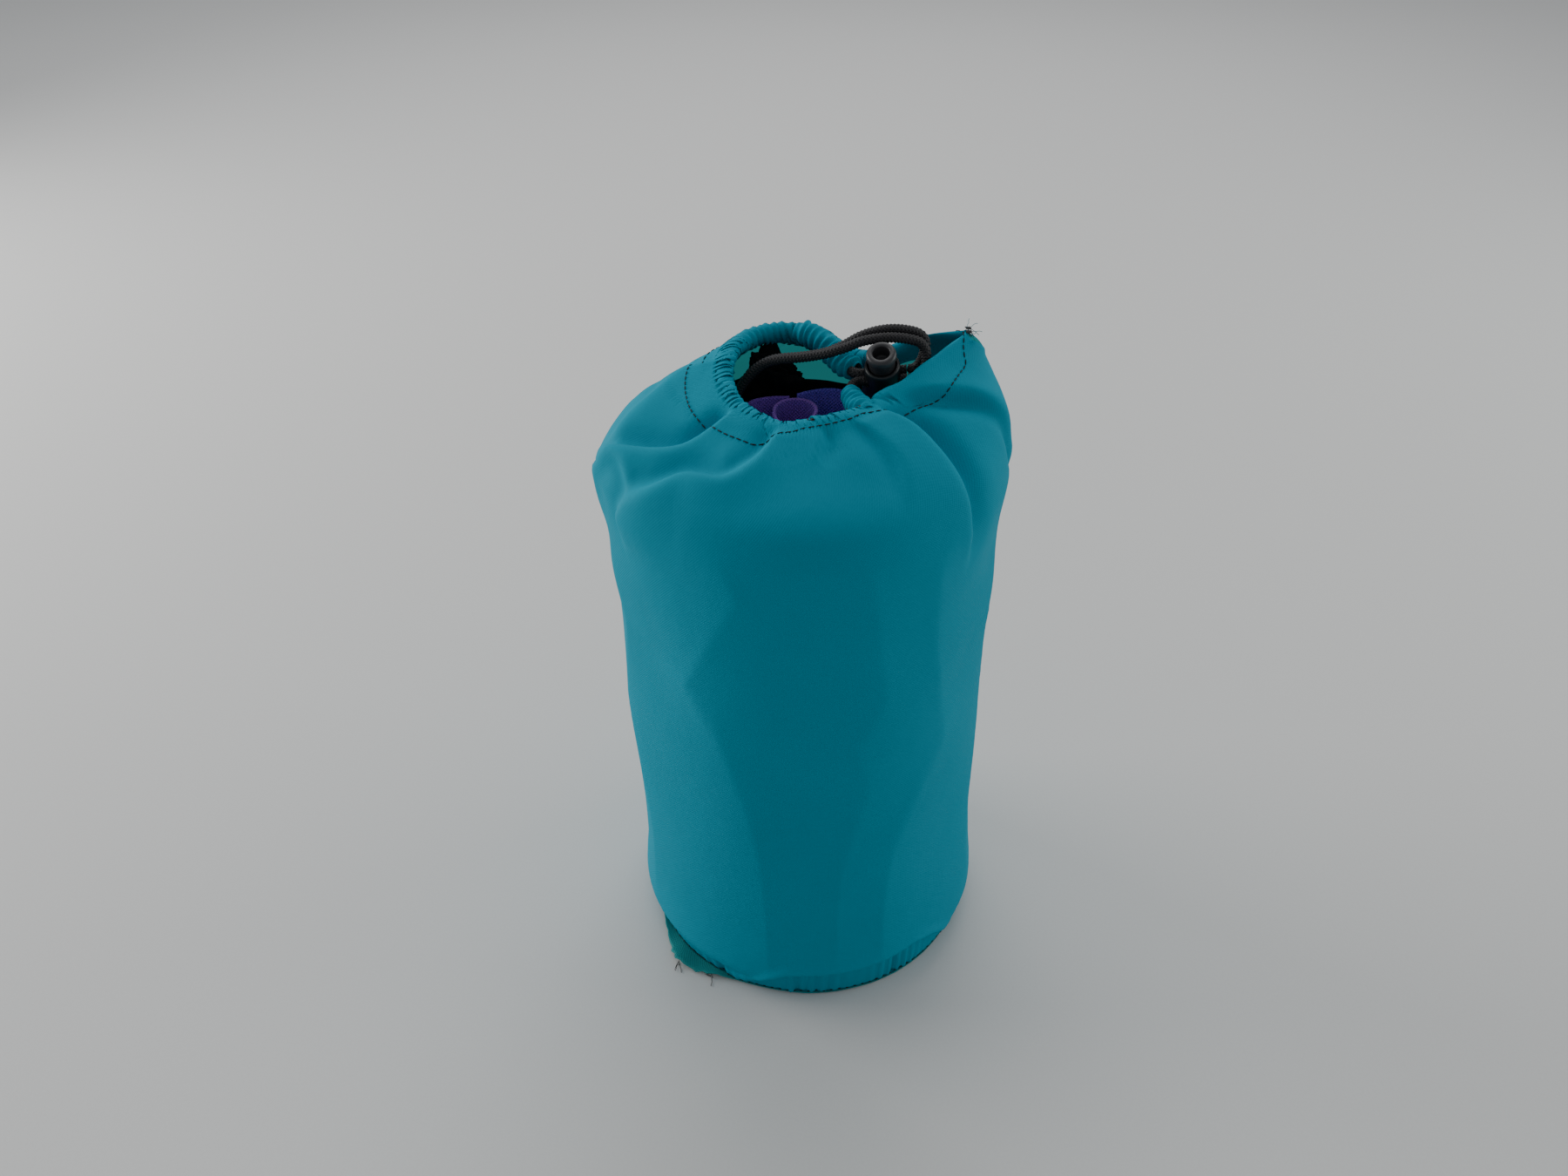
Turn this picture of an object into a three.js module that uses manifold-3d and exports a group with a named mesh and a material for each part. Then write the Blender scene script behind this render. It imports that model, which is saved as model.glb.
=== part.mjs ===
// A drawcord stuff sack standing on its round base, packed with a soft load.
// Millimetres, +Z up, +X to the sack's right, +Y to its back. The origin is the centre of the base's underside.
import * as THREE from "three";
import { mergeVertices } from "three/addons/utils/BufferGeometryUtils.js";
import Module from "manifold-3d";

const wasm = await Module();
wasm.setup();

// ---------- driving dimensions ----------
const CLOTH = 1.2; // thickness that stands for the coated nylon and its turnings
const GAP = 0.4; // clearance kept between neighbouring pieces
const BASE_RADIUS = 69.4;
const WALL_RADIUS = 73; // outer radius of the filled tube near the base
const LOAD_RADIUS = 67.4;
const LOAD_TOP = 206;
const RIM_HEIGHT = 249; // where the shoulder meets the gathered casing
const RIM_RADIUS = 36; // radius of that line before it is drawn to the mouth's true outline
const LEAN = 4; // how far the filled sack leans to its left at the shoulder
const THREAD = 0.3; // radius of the black sewing thread
const CORD_RADIUS = 1.7;
const CASING_RADIUS = 4.6; // outer radius of the hem round the cord
const CASING_BORE = 3.4;
const SEAM_ANGLE = 22; // degrees from +X to the side seam
const STRAP_THICK = 1.4;
const STRAP_TOP = 236;

const TEAL = { color: 0x16899b, roughness: 0.55, metalness: 0 };
const DEEP_TEAL = { color: 0x0e6f74, roughness: 0.6, metalness: 0 };
const BLACK_THREAD = { color: 0x14191c, roughness: 0.7, metalness: 0 };
const CHARCOAL = { color: 0x2b2b30, roughness: 0.75, metalness: 0 };
const LOCK_BLACK = { color: 0x17181b, roughness: 0.45, metalness: 0 };
const STEEL = { color: 0x9a9da0, roughness: 0.3, metalness: 1 };
const VIOLET = { color: 0x3a2a78, roughness: 0.6, metalness: 0 };
const INDIGO = { color: 0x26247a, roughness: 0.6, metalness: 0 };
const POUCH_BLACK = { color: 0x0c0d10, roughness: 0.9, metalness: 0 };
const LINING_GREY = { color: 0x30323a, roughness: 0.9, metalness: 0 };

// ---------- helpers ----------
const sack = new THREE.Group();
const radians = THREE.MathUtils.degToRad;
const point = ([x, y, z]) => new THREE.Vector3(x, y, z);

function add(name, geometry, finish, parent = sack) {
  const mesh = new THREE.Mesh(geometry, new THREE.MeshStandardMaterial(finish));
  mesh.name = name;
  parent.add(mesh);
  return mesh;
}

// A closed tube of round section along a smooth curve through the points; a bore makes it a hose.
function tube(points, radius, { sides = 8, steps = 48, bore = 0, closed = false } = {}) {
  const section = new THREE.Shape().absarc(0, 0, radius, 0, 2 * Math.PI);
  if (bore) section.holes.push(new THREE.Path().absarc(0, 0, bore, 0, 2 * Math.PI, true));
  const extrudePath = new THREE.CatmullRomCurve3(points.map(point), closed, "centripetal");
  return new THREE.ExtrudeGeometry(section, { steps, extrudePath, curveSegments: sides });
}

// A solid of revolution about Z from [radius, height] pairs, which LatheGeometry turns about Y.
function revolve(profile, segments) {
  const pairs = profile.map(([r, z]) => new THREE.Vector2(r, z));
  return new THREE.LatheGeometry(pairs, segments).rotateX(Math.PI / 2);
}

// Moves every vertex of a geometry by a rule.
function reshape(geometry, rule) {
  const at = geometry.getAttribute("position");
  const v = new THREE.Vector3();
  for (let i = 0; i < at.count; i++) {
    v.fromBufferAttribute(at, i);
    rule(v);
    at.setXYZ(i, v.x, v.y, v.z);
  }
  return geometry;
}

function solid(geometry) {
  const bare = geometry.clone();
  bare.deleteAttribute("normal");
  bare.deleteAttribute("uv");
  const merged = mergeVertices(bare, 1e-4);
  const vertProperties = merged.getAttribute("position").array;
  const triVerts = new Uint32Array(merged.index.array);
  return new wasm.Manifold(new wasm.Mesh({ numProp: 3, vertProperties, triVerts }));
}

function geometryOf(manifold) {
  const mesh = manifold.getMesh();
  const geometry = new THREE.BufferGeometry();
  geometry.setAttribute("position", new THREE.BufferAttribute(mesh.vertProperties, 3));
  return geometry.setIndex(new THREE.BufferAttribute(mesh.triVerts, 1));
}

// ---------- the mouth's outline ----------
// Centre line of the drawcord in the gathered casing, from its back end round the left to its front end.
const CASING_PATH = [
  [10.5, 13.5, 250.7], [8, 17.5, 252.2], [3, 22.5, 255], [-8, 28, 258.5], [-20, 23.5, 257.5],
  [-27.5, 12, 254], [-29.5, 0, 251], [-27, -12, 249], [-18.5, -22.5, 248], [-6, -28, 248],
  [5, -27, 248], [11.2, -21.5, 247.5], [12.6, -16, 247.2],
];
// The slack hem that the cord doesn't run through rises to a peak at the top of the side seam.
const SEAM_PEAK = [51, 12.5, 260.5];
const FRONT_HEM_PATH = [[18.5, -16.5, 249], [28, -8.5, 253], [39, 0.6, 257], [49, 9.2, 260]];
const BACK_HEM_PATH = [[48.5, 14.5, 260], [38, 16.5, 258.8], [26, 17.5, 256], [16.5, 18.5, 253]];
const RIM = new THREE.CatmullRomCurve3(
  [...CASING_PATH, ...FRONT_HEM_PATH, SEAM_PEAK, ...BACK_HEM_PATH].map(point), true, "centripetal",
).getSpacedPoints(720);

// The rim's point in a given direction from the sack's axis.
function rimAt(angle) {
  const off = (p) => {
    const turn = Math.atan2(p.y, p.x) - angle;
    return Math.abs(Math.atan2(Math.sin(turn), Math.cos(turn)));
  };
  return RIM.reduce((best, p) => (off(p) < off(best) ? p : best));
}

const smooth = (t) => THREE.MathUtils.smoothstep(t, 0, 1);

// The filled sack's lean, and its shoulder drawn in to the mouth's outline.
const SHOULDER_HEIGHT = 222;
const COLLAR_CLEARANCE = 7.3; // the shoulder's edge lies this far outside the cord's line
function drawIn(v) {
  v.x -= LEAN * smooth(v.z / SHOULDER_HEIGHT);
  const share = smooth((v.z - SHOULDER_HEIGHT) / (RIM_HEIGHT - SHOULDER_HEIGHT));
  if (share === 0) return;
  const rim = rimAt(Math.atan2(v.y, v.x));
  const reach = Math.hypot(rim.x, rim.y) + COLLAR_CLEARANCE - RIM_RADIUS;
  const radius = Math.hypot(v.x, v.y);
  v.x += (v.x / radius) * reach * share;
  v.y += (v.y / radius) * reach * share;
  v.z += (rim.z - 1 - RIM_HEIGHT) * share;
}

// ---------- base ----------
add("base_disc", new THREE.CylinderGeometry(BASE_RADIUS, BASE_RADIUS, CLOTH, 56)
  .rotateX(Math.PI / 2).translate(0, 0, CLOTH / 2), TEAL);

// The raw edges of the base seam are turned outward and show as a flange at the front left.
const FLANGE_INNER = BASE_RADIUS + GAP;
const FLANGE_WIDTH = 2.2;
const FLANGE_EXTRA = 6.5;
const FLANGE_ANGLE = 222; // degrees, the middle of the wide part
const FLANGE_POINTS = 56;
const flangeOutline = new THREE.Shape();
for (let i = 0; i < FLANGE_POINTS; i++) {
  const degrees = (i * 360) / FLANGE_POINTS;
  const angle = radians(degrees);
  const wide = Math.exp(-(((degrees - FLANGE_ANGLE) / 20) ** 2));
  const radius = FLANGE_INNER + FLANGE_WIDTH + FLANGE_EXTRA * wide;
  flangeOutline[i ? "lineTo" : "moveTo"](radius * Math.cos(angle), radius * Math.sin(angle));
}
flangeOutline.holes.push(new THREE.Path().absarc(0, 0, FLANGE_INNER, 0, 2 * Math.PI, true));
add("base_seam_allowance", new THREE.ExtrudeGeometry(flangeOutline,
  { depth: CLOTH, bevelEnabled: false, curveSegments: 28 }).translate(0, 0, 0.2), DEEP_TEAL);

// ---------- wall and shoulder: one panel of cloth ----------
const WALL_PROFILE = [
  [-2.3, 2.2], [-1, 5], [0, 11], [-0.6, 40], [-2, 85], [-2, 125], [0, 170],
  [2.6, 212], [2.2, 222], [-0.5, 230], [-6, 236], [-14, 241], [-23, 244.8], [-31, 247.3],
].map(([r, z]) => [WALL_RADIUS + r, z]).concat([[RIM_RADIUS, RIM_HEIGHT]]);

// The same line moved inward by some distance.
function insideOf(profile, distance) {
  return profile.map(([r, z], i) => {
    const [r0, z0] = profile[Math.max(i - 1, 0)];
    const [r1, z1] = profile[Math.min(i + 1, profile.length - 1)];
    const length = Math.hypot(r1 - r0, z1 - z0);
    return [r - (distance * (z1 - z0)) / length, z + (distance * (r1 - r0)) / length];
  });
}
const WALL_SEGMENTS = 44;
const wallInner = insideOf(WALL_PROFILE, CLOTH);
add("body_panel", reshape(
  revolve([...WALL_PROFILE, ...wallInner.reverse(), WALL_PROFILE[0]], WALL_SEGMENTS), drawIn), TEAL);

// ---------- side seam ----------
const seamDirection = [Math.cos(radians(SEAM_ANGLE)), Math.sin(radians(SEAM_ANGLE))];
function alongSeam(distance, lowest, highest, count) {
  const line = insideOf(WALL_PROFILE, distance).filter(([, z]) => z > lowest && z < highest);
  const curve = new THREE.CatmullRomCurve3(line.map(([r, z]) => new THREE.Vector3(r, 0, z)));
  return curve.getSpacedPoints(count).map((p) => {
    const v = new THREE.Vector3(p.x * seamDirection[0], p.x * seamDirection[1], p.z);
    drawIn(v);
    return v.toArray();
  });
}
add("side_seam_allowance", tube(alongSeam(CLOTH + 0.8, 8, 223, 14), 0.45, { sides: 4, steps: 12 }), DEEP_TEAL);
add("side_seam_stitching", tube(alongSeam(-0.95, 4, 223, 14), THREAD, { sides: 4, steps: 14 }), BLACK_THREAD);

// ---------- base stitching ----------
const STITCH_HEIGHT = 3.4;
const STITCH_RADIUS = 72.3;
add("base_stitching", new THREE.TorusGeometry(STITCH_RADIUS, THREAD, 6, 52)
  .translate(0, 0, STITCH_HEIGHT), BLACK_THREAD);

// ---------- casing: the hem that the drawcord runs in ----------
add("casing_hem", tube(CASING_PATH.slice(1, -1), CASING_RADIUS, { sides: 5, steps: 34, bore: CASING_BORE }), TEAL);
const HEM_EDGE_RADIUS = 1.5;
add("hem_edge_front", tube(FRONT_HEM_PATH, HEM_EDGE_RADIUS, { sides: 4, steps: 14 }), TEAL);
add("hem_edge_back", tube(BACK_HEM_PATH, HEM_EDGE_RADIUS, { sides: 4, steps: 14 }), TEAL);
add("seam_bartack", new THREE.BoxGeometry(1.6, 4, 3)
  .rotateZ(radians(14)).translate(51.8, 12.6, 260.6), BLACK_THREAD);

// The casing's row of stitches lies on the shoulder, a hem's width outside the mouth.
const STITCH_ROW_OFFSET = 17;
// Height of the panel's outer face at a radius, in the direction of an angle.
const panelSolid = solid(sack.getObjectByName("body_panel").geometry);
function heightOnPanel(radius, angle) {
  const probe = new THREE.Vector3(radius * Math.cos(angle), radius * Math.sin(angle), 0);
  const column = solid(new THREE.BoxGeometry(0.3, 0.3, 60).translate(probe.x, probe.y, 240));
  const box = column.intersect(panelSolid).boundingBox();
  return box.max[2];
}
const CASING_STITCH_LIFT = 0.9;
const casingStitch = Array.from({ length: 40 }, (_, i) => {
  const angle = radians(i * 9);
  const rim = rimAt(angle);
  const reach = Math.min(Math.hypot(rim.x, rim.y) + STITCH_ROW_OFFSET, 66);
  return [reach * Math.cos(angle), reach * Math.sin(angle), heightOnPanel(reach, angle) + CASING_STITCH_LIFT];
});
add("casing_stitching", tube(casingStitch, THREAD, { sides: 4, steps: 72, closed: true }), BLACK_THREAD);

// ---------- cord lock ----------
// Its own frame: z from the barrel to the button, x along the cords, origin where the cords cross its axis.
const LOCK_CENTRE = [23.5, 2.8, 250.8];
const lockUp = new THREE.Vector3(-0.12, -0.42, 0.9).normalize();
const lockAlong = new THREE.Vector3(1, 0, 0).addScaledVector(lockUp, -lockUp.x).normalize();
const lockAcross = new THREE.Vector3().crossVectors(lockUp, lockAlong);
const BARREL_TOP = 6;
const BARREL_BOTTOM = -11;
const BORE_RADIUS = 4.95;
const PLUNGER_RADIUS = 4.6;
const PLUNGER_TOP = 12.5;
const PLUNGER_BOTTOM = -3.8;
const PRESS_TRAVEL = 3;
const LEG_OFFSET = 1.95; // each cord leg lies this far to a side in the slot
const SLOT_HALF_HEIGHT = 2.1;
const SLOT_HALF_WIDTH = 4.1;

const lock = new THREE.Group();
lock.position.set(...LOCK_CENTRE);
lock.setRotationFromMatrix(new THREE.Matrix4().makeBasis(lockAlong, lockAcross, lockUp));
sack.add(lock);

// An oblong window right through along x, between two heights.
function slot(low, high) {
  const half = (high - low) / 2;
  const window = new THREE.Shape();
  window.absarc(SLOT_HALF_WIDTH - SLOT_HALF_HEIGHT, 0, SLOT_HALF_HEIGHT, -Math.PI / 2, Math.PI / 2);
  window.absarc(SLOT_HALF_HEIGHT - SLOT_HALF_WIDTH, 0, SLOT_HALF_HEIGHT, Math.PI / 2, 1.5 * Math.PI);
  const cut = new THREE.ExtrudeGeometry(window, { depth: 24, bevelEnabled: false, curveSegments: 6 });
  cut.translate(0, 0, -12).rotateX(Math.PI / 2).rotateZ(Math.PI / 2);
  return solid(cut.scale(1, 1, half / SLOT_HALF_HEIGHT).translate(0, 0, low + half));
}

const BARREL_FLOOR = 1.5;
const barrel = solid(revolve([
  [0, BARREL_BOTTOM], [6.9, BARREL_BOTTOM], [7.9, -10.2], [8, -8.5],
  [7.2, -4.5], [6.5, 0], [6.3, 4.9], [5.9, BARREL_TOP],
  [BORE_RADIUS, BARREL_TOP], [BORE_RADIUS, BARREL_BOTTOM + BARREL_FLOOR], [0, BARREL_BOTTOM + BARREL_FLOOR],
], 32));
add("lock_barrel", geometryOf(barrel.subtract(slot(-SLOT_HALF_HEIGHT, SLOT_HALF_HEIGHT))), LOCK_BLACK, lock);

const RECESS_RADIUS = 2.2;
const RECESS_FLOOR = 7.4;
const plunger = solid(revolve([
  [0, PLUNGER_BOTTOM], [PLUNGER_RADIUS, PLUNGER_BOTTOM], [PLUNGER_RADIUS, PLUNGER_TOP - 0.7],
  [PLUNGER_RADIUS - 0.7, PLUNGER_TOP], [RECESS_RADIUS + 0.4, PLUNGER_TOP], [RECESS_RADIUS, PLUNGER_TOP - 0.4],
  [RECESS_RADIUS, RECESS_FLOOR], [0, RECESS_FLOOR],
], 32));
add("lock_button", geometryOf(plunger.subtract(
  slot(-SLOT_HALF_HEIGHT, SLOT_HALF_HEIGHT + PRESS_TRAVEL))), LOCK_BLACK, lock);

const SPRING_RADIUS = 3.2;
const SPRING_WIRE = 0.3;
const SPRING_TURNS = 4;
const SPRING_LOW = BARREL_BOTTOM + BARREL_FLOOR + SPRING_WIRE + 0.25;
const SPRING_HIGH = PLUNGER_BOTTOM - SPRING_WIRE - 0.25;
const coil = Array.from({ length: SPRING_TURNS * 12 + 1 }, (_, i) => {
  const turn = i / 12;
  const angle = 2 * Math.PI * turn;
  const height = SPRING_LOW + ((SPRING_HIGH - SPRING_LOW) * turn) / SPRING_TURNS;
  return [SPRING_RADIUS * Math.cos(angle), SPRING_RADIUS * Math.sin(angle), height];
});
add("lock_spring", tube(coil, SPRING_WIRE, { sides: 4, steps: 48 }), STEEL, lock);

// ---------- drawcord ----------
// A point in the lock's own frame, as the sack's.
const fromLock = (along, across, up) => new THREE.Vector3(...LOCK_CENTRE)
  .addScaledVector(lockAlong, along).addScaledVector(lockAcross, across).addScaledVector(lockUp, up).toArray();
const LEG_ENTRY = -8.6;
const LEG_EXIT = 8.4;
const drawcord = [
  fromLock(LEG_EXIT, LEG_OFFSET, 0), fromLock(0, LEG_OFFSET, 0),
  fromLock(LEG_ENTRY, LEG_OFFSET, 0), [12.2, 8.6, 250.4],
  ...CASING_PATH,
  [11.4, -8.5, 247.6], [12, -2.6, 248.4], fromLock(LEG_ENTRY, -LEG_OFFSET, 0),
  fromLock(0, -LEG_OFFSET, 0), fromLock(LEG_EXIT, -LEG_OFFSET, 0),
];
add("drawcord", tube(drawcord, CORD_RADIUS, { sides: 4, steps: 66 }), CHARCOAL);

// The two free ends leave the lock side by side, turn back over it and cross the mouth into the sack.
// This is the line midway between them.
const TAIL_START = LEG_EXIT + GAP;
const LEG_STRAIGHT = 10.8;
const TAIL_LINE = [
  fromLock(TAIL_START, 0, 0), fromLock(LEG_STRAIGHT, 0, 0),
  [36.2, 3.8, 252.6], [37.9, 6.3, 255.8], [38.1, 7.6, 259.6], [36.2, 8, 262.4], [31, 7.6, 264.2],
  [24, 7.2, 264.6], [16, 6.5, 263.1], [10.2, 6.6, 260.2], [5, 7, 257.9], [-0.2, 8.5, 255.9], [-6, 10.4, 254.2],
  [-11, 12.2, 252.9], [-15.7, 14.2, 251], [-20.3, 15.6, 247.8], [-24.5, 16, 243.2], [-27.8, 15.8, 237.6],
  [-30, 15.2, 231.2], [-31.4, 14.8, 224.8],
];
const tailCentre = new THREE.CatmullRomCurve3(TAIL_LINE.map(point), false, "centripetal");
// The pair lies side by side at the lock, and turns over until one lies behind the other.
const PAIR_TURNS_TO = new THREE.Vector3(0, 0.92, -0.38);
function tail(side) {
  return Array.from({ length: 41 }, (_, i) => {
    const along = tailCentre.getTangentAt(i / 40);
    const apart = lockAcross.clone().lerp(PAIR_TURNS_TO, smooth((i / 40 - 0.22) / 0.3));
    apart.addScaledVector(along, -apart.dot(along)).normalize();
    return tailCentre.getPointAt(i / 40).addScaledVector(apart, side * LEG_OFFSET).toArray();
  });
}
add("cord_tail_back", tube(tail(1), CORD_RADIUS, { sides: 4, steps: 46 }), CHARCOAL);
add("cord_tail_front", tube(tail(-1), CORD_RADIUS, { sides: 4, steps: 46 }), CHARCOAL);

// Both ends are tied in one overhand knot.
const [knotX, knotY, knotZ] = TAIL_LINE.at(-1);
add("cord_knot", new THREE.SphereGeometry(4.2, 14, 9).scale(1, 1.1, 1)
  .translate(knotX - 0.6, knotY, knotZ - 4.9), CHARCOAL);

// ---------- the load ----------
add("packed_load", reshape(revolve([
  [0, 1.8], [60, 1.8], [66, 5], [LOAD_RADIUS, 12], [LOAD_RADIUS, 176],
  [66.4, 188], [62, 198], [52, 204], [34, LOAD_TOP], [0, LOAD_TOP],
], 40), (v) => {
  v.x -= LEAN * smooth(v.z / SHOULDER_HEIGHT);
}), LINING_GREY);

// A strap standing on its edge: its line in plan, thickened.
function strap(line, low, high, closed = false) {
  const curve = new THREE.CatmullRomCurve3(line.map(([x, y]) => new THREE.Vector3(x, y, 0)), closed, "centripetal");
  const count = 10 + line.length * 3;
  const half = STRAP_THICK / 2;
  const side = (sign) => Array.from({ length: closed ? count : count + 1 }, (_, i) => {
    const p = curve.getPoint(i / count);
    const t = curve.getTangent(i / count);
    return new THREE.Vector2(p.x - sign * half * t.y, p.y + sign * half * t.x);
  });
  const outline = closed ? new THREE.Shape(side(1)) : new THREE.Shape([...side(-1), ...side(1).reverse()]);
  if (closed) outline.holes.push(new THREE.Path(side(-1).reverse()));
  return new THREE.ExtrudeGeometry(outline, { depth: high - low, bevelEnabled: false }).translate(0, 0, low);
}
const STRAP_LOW = LOAD_TOP + GAP;
const RING_LINE = [[-14.6, 6], [-13, 12], [-8, 15], [-2.5, 13.5], [0.5, 8.5], [-0.5, 2], [-4.5, -3.5], [-9.5, -4.5], [-13.2, -0.5]];
const LEFT_LINE = [[-9, 18.4], [-16, 18], [-22.5, 15], [-25, 9], [-23.5, 2], [-20.5, -4], [-19, -11]];
const RIGHT_LINE = [[-6, 19.4], [-1.5, 21.6], [6, 23], [12.5, 20.6], [18, 14.5], [17.4, 8], [11, 3.5], [6.6, -2], [8, -9]];
add("violet_strap_ring", strap(RING_LINE, STRAP_LOW, STRAP_TOP, true), VIOLET);
add("violet_strap_left", strap(LEFT_LINE, STRAP_LOW, STRAP_TOP - 0.5), VIOLET);
add("indigo_strap_right", strap(RIGHT_LINE, STRAP_LOW, STRAP_TOP), INDIGO);

// A rolled black pouch lies behind the straps, with the edge of its cloth standing up to the right.
add("pouch_roll", new THREE.CapsuleGeometry(9, 12, 5, 14).rotateZ(Math.PI / 2)
  .scale(1, 0.8, 1.5).translate(-17, 28.6, 224), POUCH_BLACK);
add("pouch_edge", strap([[5, 28.6], [10, 27.4], [16, 26.6], [22, 24.4], [26, 20]], STRAP_LOW, STRAP_TOP + 1), POUCH_BLACK);

export default sack;
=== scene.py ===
import math

import bmesh
import bpy
import numpy as np
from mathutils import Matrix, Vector


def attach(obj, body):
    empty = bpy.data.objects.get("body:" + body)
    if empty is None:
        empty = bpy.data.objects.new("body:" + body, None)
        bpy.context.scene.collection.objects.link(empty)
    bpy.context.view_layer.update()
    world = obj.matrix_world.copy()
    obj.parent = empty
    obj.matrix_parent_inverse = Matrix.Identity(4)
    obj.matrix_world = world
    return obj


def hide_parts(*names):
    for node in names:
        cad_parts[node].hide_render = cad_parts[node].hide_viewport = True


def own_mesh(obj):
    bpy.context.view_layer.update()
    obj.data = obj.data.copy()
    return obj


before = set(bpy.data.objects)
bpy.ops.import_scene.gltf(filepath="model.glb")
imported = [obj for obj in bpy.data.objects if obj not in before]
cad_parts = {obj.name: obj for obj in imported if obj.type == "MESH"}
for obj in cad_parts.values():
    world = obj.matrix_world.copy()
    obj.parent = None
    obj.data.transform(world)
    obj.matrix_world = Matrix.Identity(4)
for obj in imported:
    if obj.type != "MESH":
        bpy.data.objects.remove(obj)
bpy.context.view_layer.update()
MM = 0.001


# ============ The view ============
# A camera stands in front of the sack and a little above it, and looks down into the mouth.
CAMERA_PLACE = (-11.0, -385.0, 441.0)
CAMERA_LENS = 28.0
CAMERA_SENSOR = 36.0
CAMERA_DOWN = 36.0
camera_data = bpy.data.cameras.new("view")
camera_data.lens = CAMERA_LENS
camera_data.sensor_width = CAMERA_SENSOR
camera_data.clip_start = 0.01
camera = bpy.data.objects.new("view", camera_data)
camera.location = [c * MM for c in CAMERA_PLACE]
camera.rotation_euler = (math.radians(90.0 - CAMERA_DOWN), 0.0, 0.0)
bpy.context.scene.collection.objects.link(camera)
bpy.context.scene.camera = camera


# ============ The cord's two free ends and their knot ============
# Braided polyester cord 3.5 mm thick, charcoal, with a rib across it at each pass of the braid.
# The ends leave the lock side by side, turn back over it, cross the mouth and drop inside to a knot.
CORD_RADIUS = 1.75
CORD_SIDES = 20
CORD_STEP = 0.30
RIB_PITCH = 1.25
RIB_DEPTH = 0.14
CORD_COLOUR = (0.024, 0.023, 0.026, 1.0)
LOCK_CENTRE = Vector((23.5, 2.8, 250.8))
LOCK_UP = Vector((-0.12, -0.42, 0.9)).normalized()
LOCK_ALONG = (Vector((1.0, 0.0, 0.0)) - LOCK_UP * LOCK_UP.x).normalized()
LOCK_ACROSS = LOCK_UP.cross(LOCK_ALONG)
LEG_OFFSET = 1.95
TAIL_START = 8.8
LEG_STRAIGHT = 10.8
TAIL_TURN = [
    (36.2, 3.8, 252.6), (37.9, 6.3, 255.8), (38.1, 7.6, 259.6), (36.2, 8.0, 262.4), (31.0, 7.6, 264.2),
    (24.0, 7.2, 264.6), (16.0, 6.5, 263.1), (10.2, 6.6, 260.2), (5.0, 7.0, 257.9), (-0.2, 8.5, 255.9),
    (-6.0, 10.4, 254.2), (-11.0, 12.2, 252.9), (-15.7, 14.2, 251.0), (-20.3, 15.6, 247.8), (-24.5, 16.0, 243.2),
    (-27.8, 15.8, 237.6), (-30.0, 15.2, 231.2), (-31.4, 14.8, 224.8),
]


def eased(t):
    """A smooth step from 0 to 1 as t goes from 0 to 1."""
    t = np.clip(t, 0.0, 1.0)
    return t * t * (3 - 2 * t)


def at_lock(along, across, up):
    """A point in the cord lock's own frame, as the sack's."""
    return LOCK_CENTRE + LOCK_ALONG * along + LOCK_ACROSS * across + LOCK_UP * up


def smooth_line(points, step, closed=False):
    """Points at an even spacing along a centripetal Catmull-Rom curve through the given ones."""
    p = np.array([tuple(q) for q in points], float)
    if closed:
        p = np.vstack([p[-1:], p, p[:2]])
    else:
        p = np.vstack([2 * p[:1] - p[1:2], p, 2 * p[-1:] - p[-2:-1]])
    fine = []
    for a, b, c, d in zip(p[:-3], p[1:-2], p[2:-1], p[3:]):
        t1 = np.linalg.norm(b - a) ** 0.5
        t2 = t1 + np.linalg.norm(c - b) ** 0.5
        t3 = t2 + np.linalg.norm(d - c) ** 0.5
        for t in np.linspace(t1, t2, 24, endpoint=False):
            ab = (a * (t1 - t) + b * t) / t1
            bc = (b * (t2 - t) + c * (t - t1)) / (t2 - t1)
            cd = (c * (t3 - t) + d * (t - t2)) / (t3 - t2)
            abc = (ab * (t2 - t) + bc * t) / t2
            bcd = (bc * (t3 - t) + cd * (t - t1)) / (t3 - t1)
            fine.append((abc * (t2 - t) + bcd * (t - t1)) / (t2 - t1))
    fine.append(p[-2] if not closed else fine[0])
    fine = np.array(fine)
    run = np.concatenate([[0], np.cumsum(np.linalg.norm(np.diff(fine, axis=0), axis=1))])
    count = max(int(round(run[-1] / step)), 4)
    at = np.linspace(0, run[-1], count + 1)
    line = np.stack([np.interp(at, run, fine[:, k]) for k in range(3)], axis=1)
    return line[:-1] if closed else line


def frames_along(line):
    """Two unit vectors across the line at each of its points, turning as little as they can."""
    ahead = np.gradient(line, axis=0)
    ahead /= np.linalg.norm(ahead, axis=1)[:, None]
    side = np.cross(ahead[0], (0.0, 0.0, 1.0))
    if np.linalg.norm(side) < 0.1:
        side = np.cross(ahead[0], (0.0, 1.0, 0.0))
    sides = []
    for t in ahead:
        side = side - t * side.dot(t)
        side = side / np.linalg.norm(side)
        sides.append(side)
    sides = np.array(sides)
    return sides, np.cross(ahead, sides)


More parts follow.
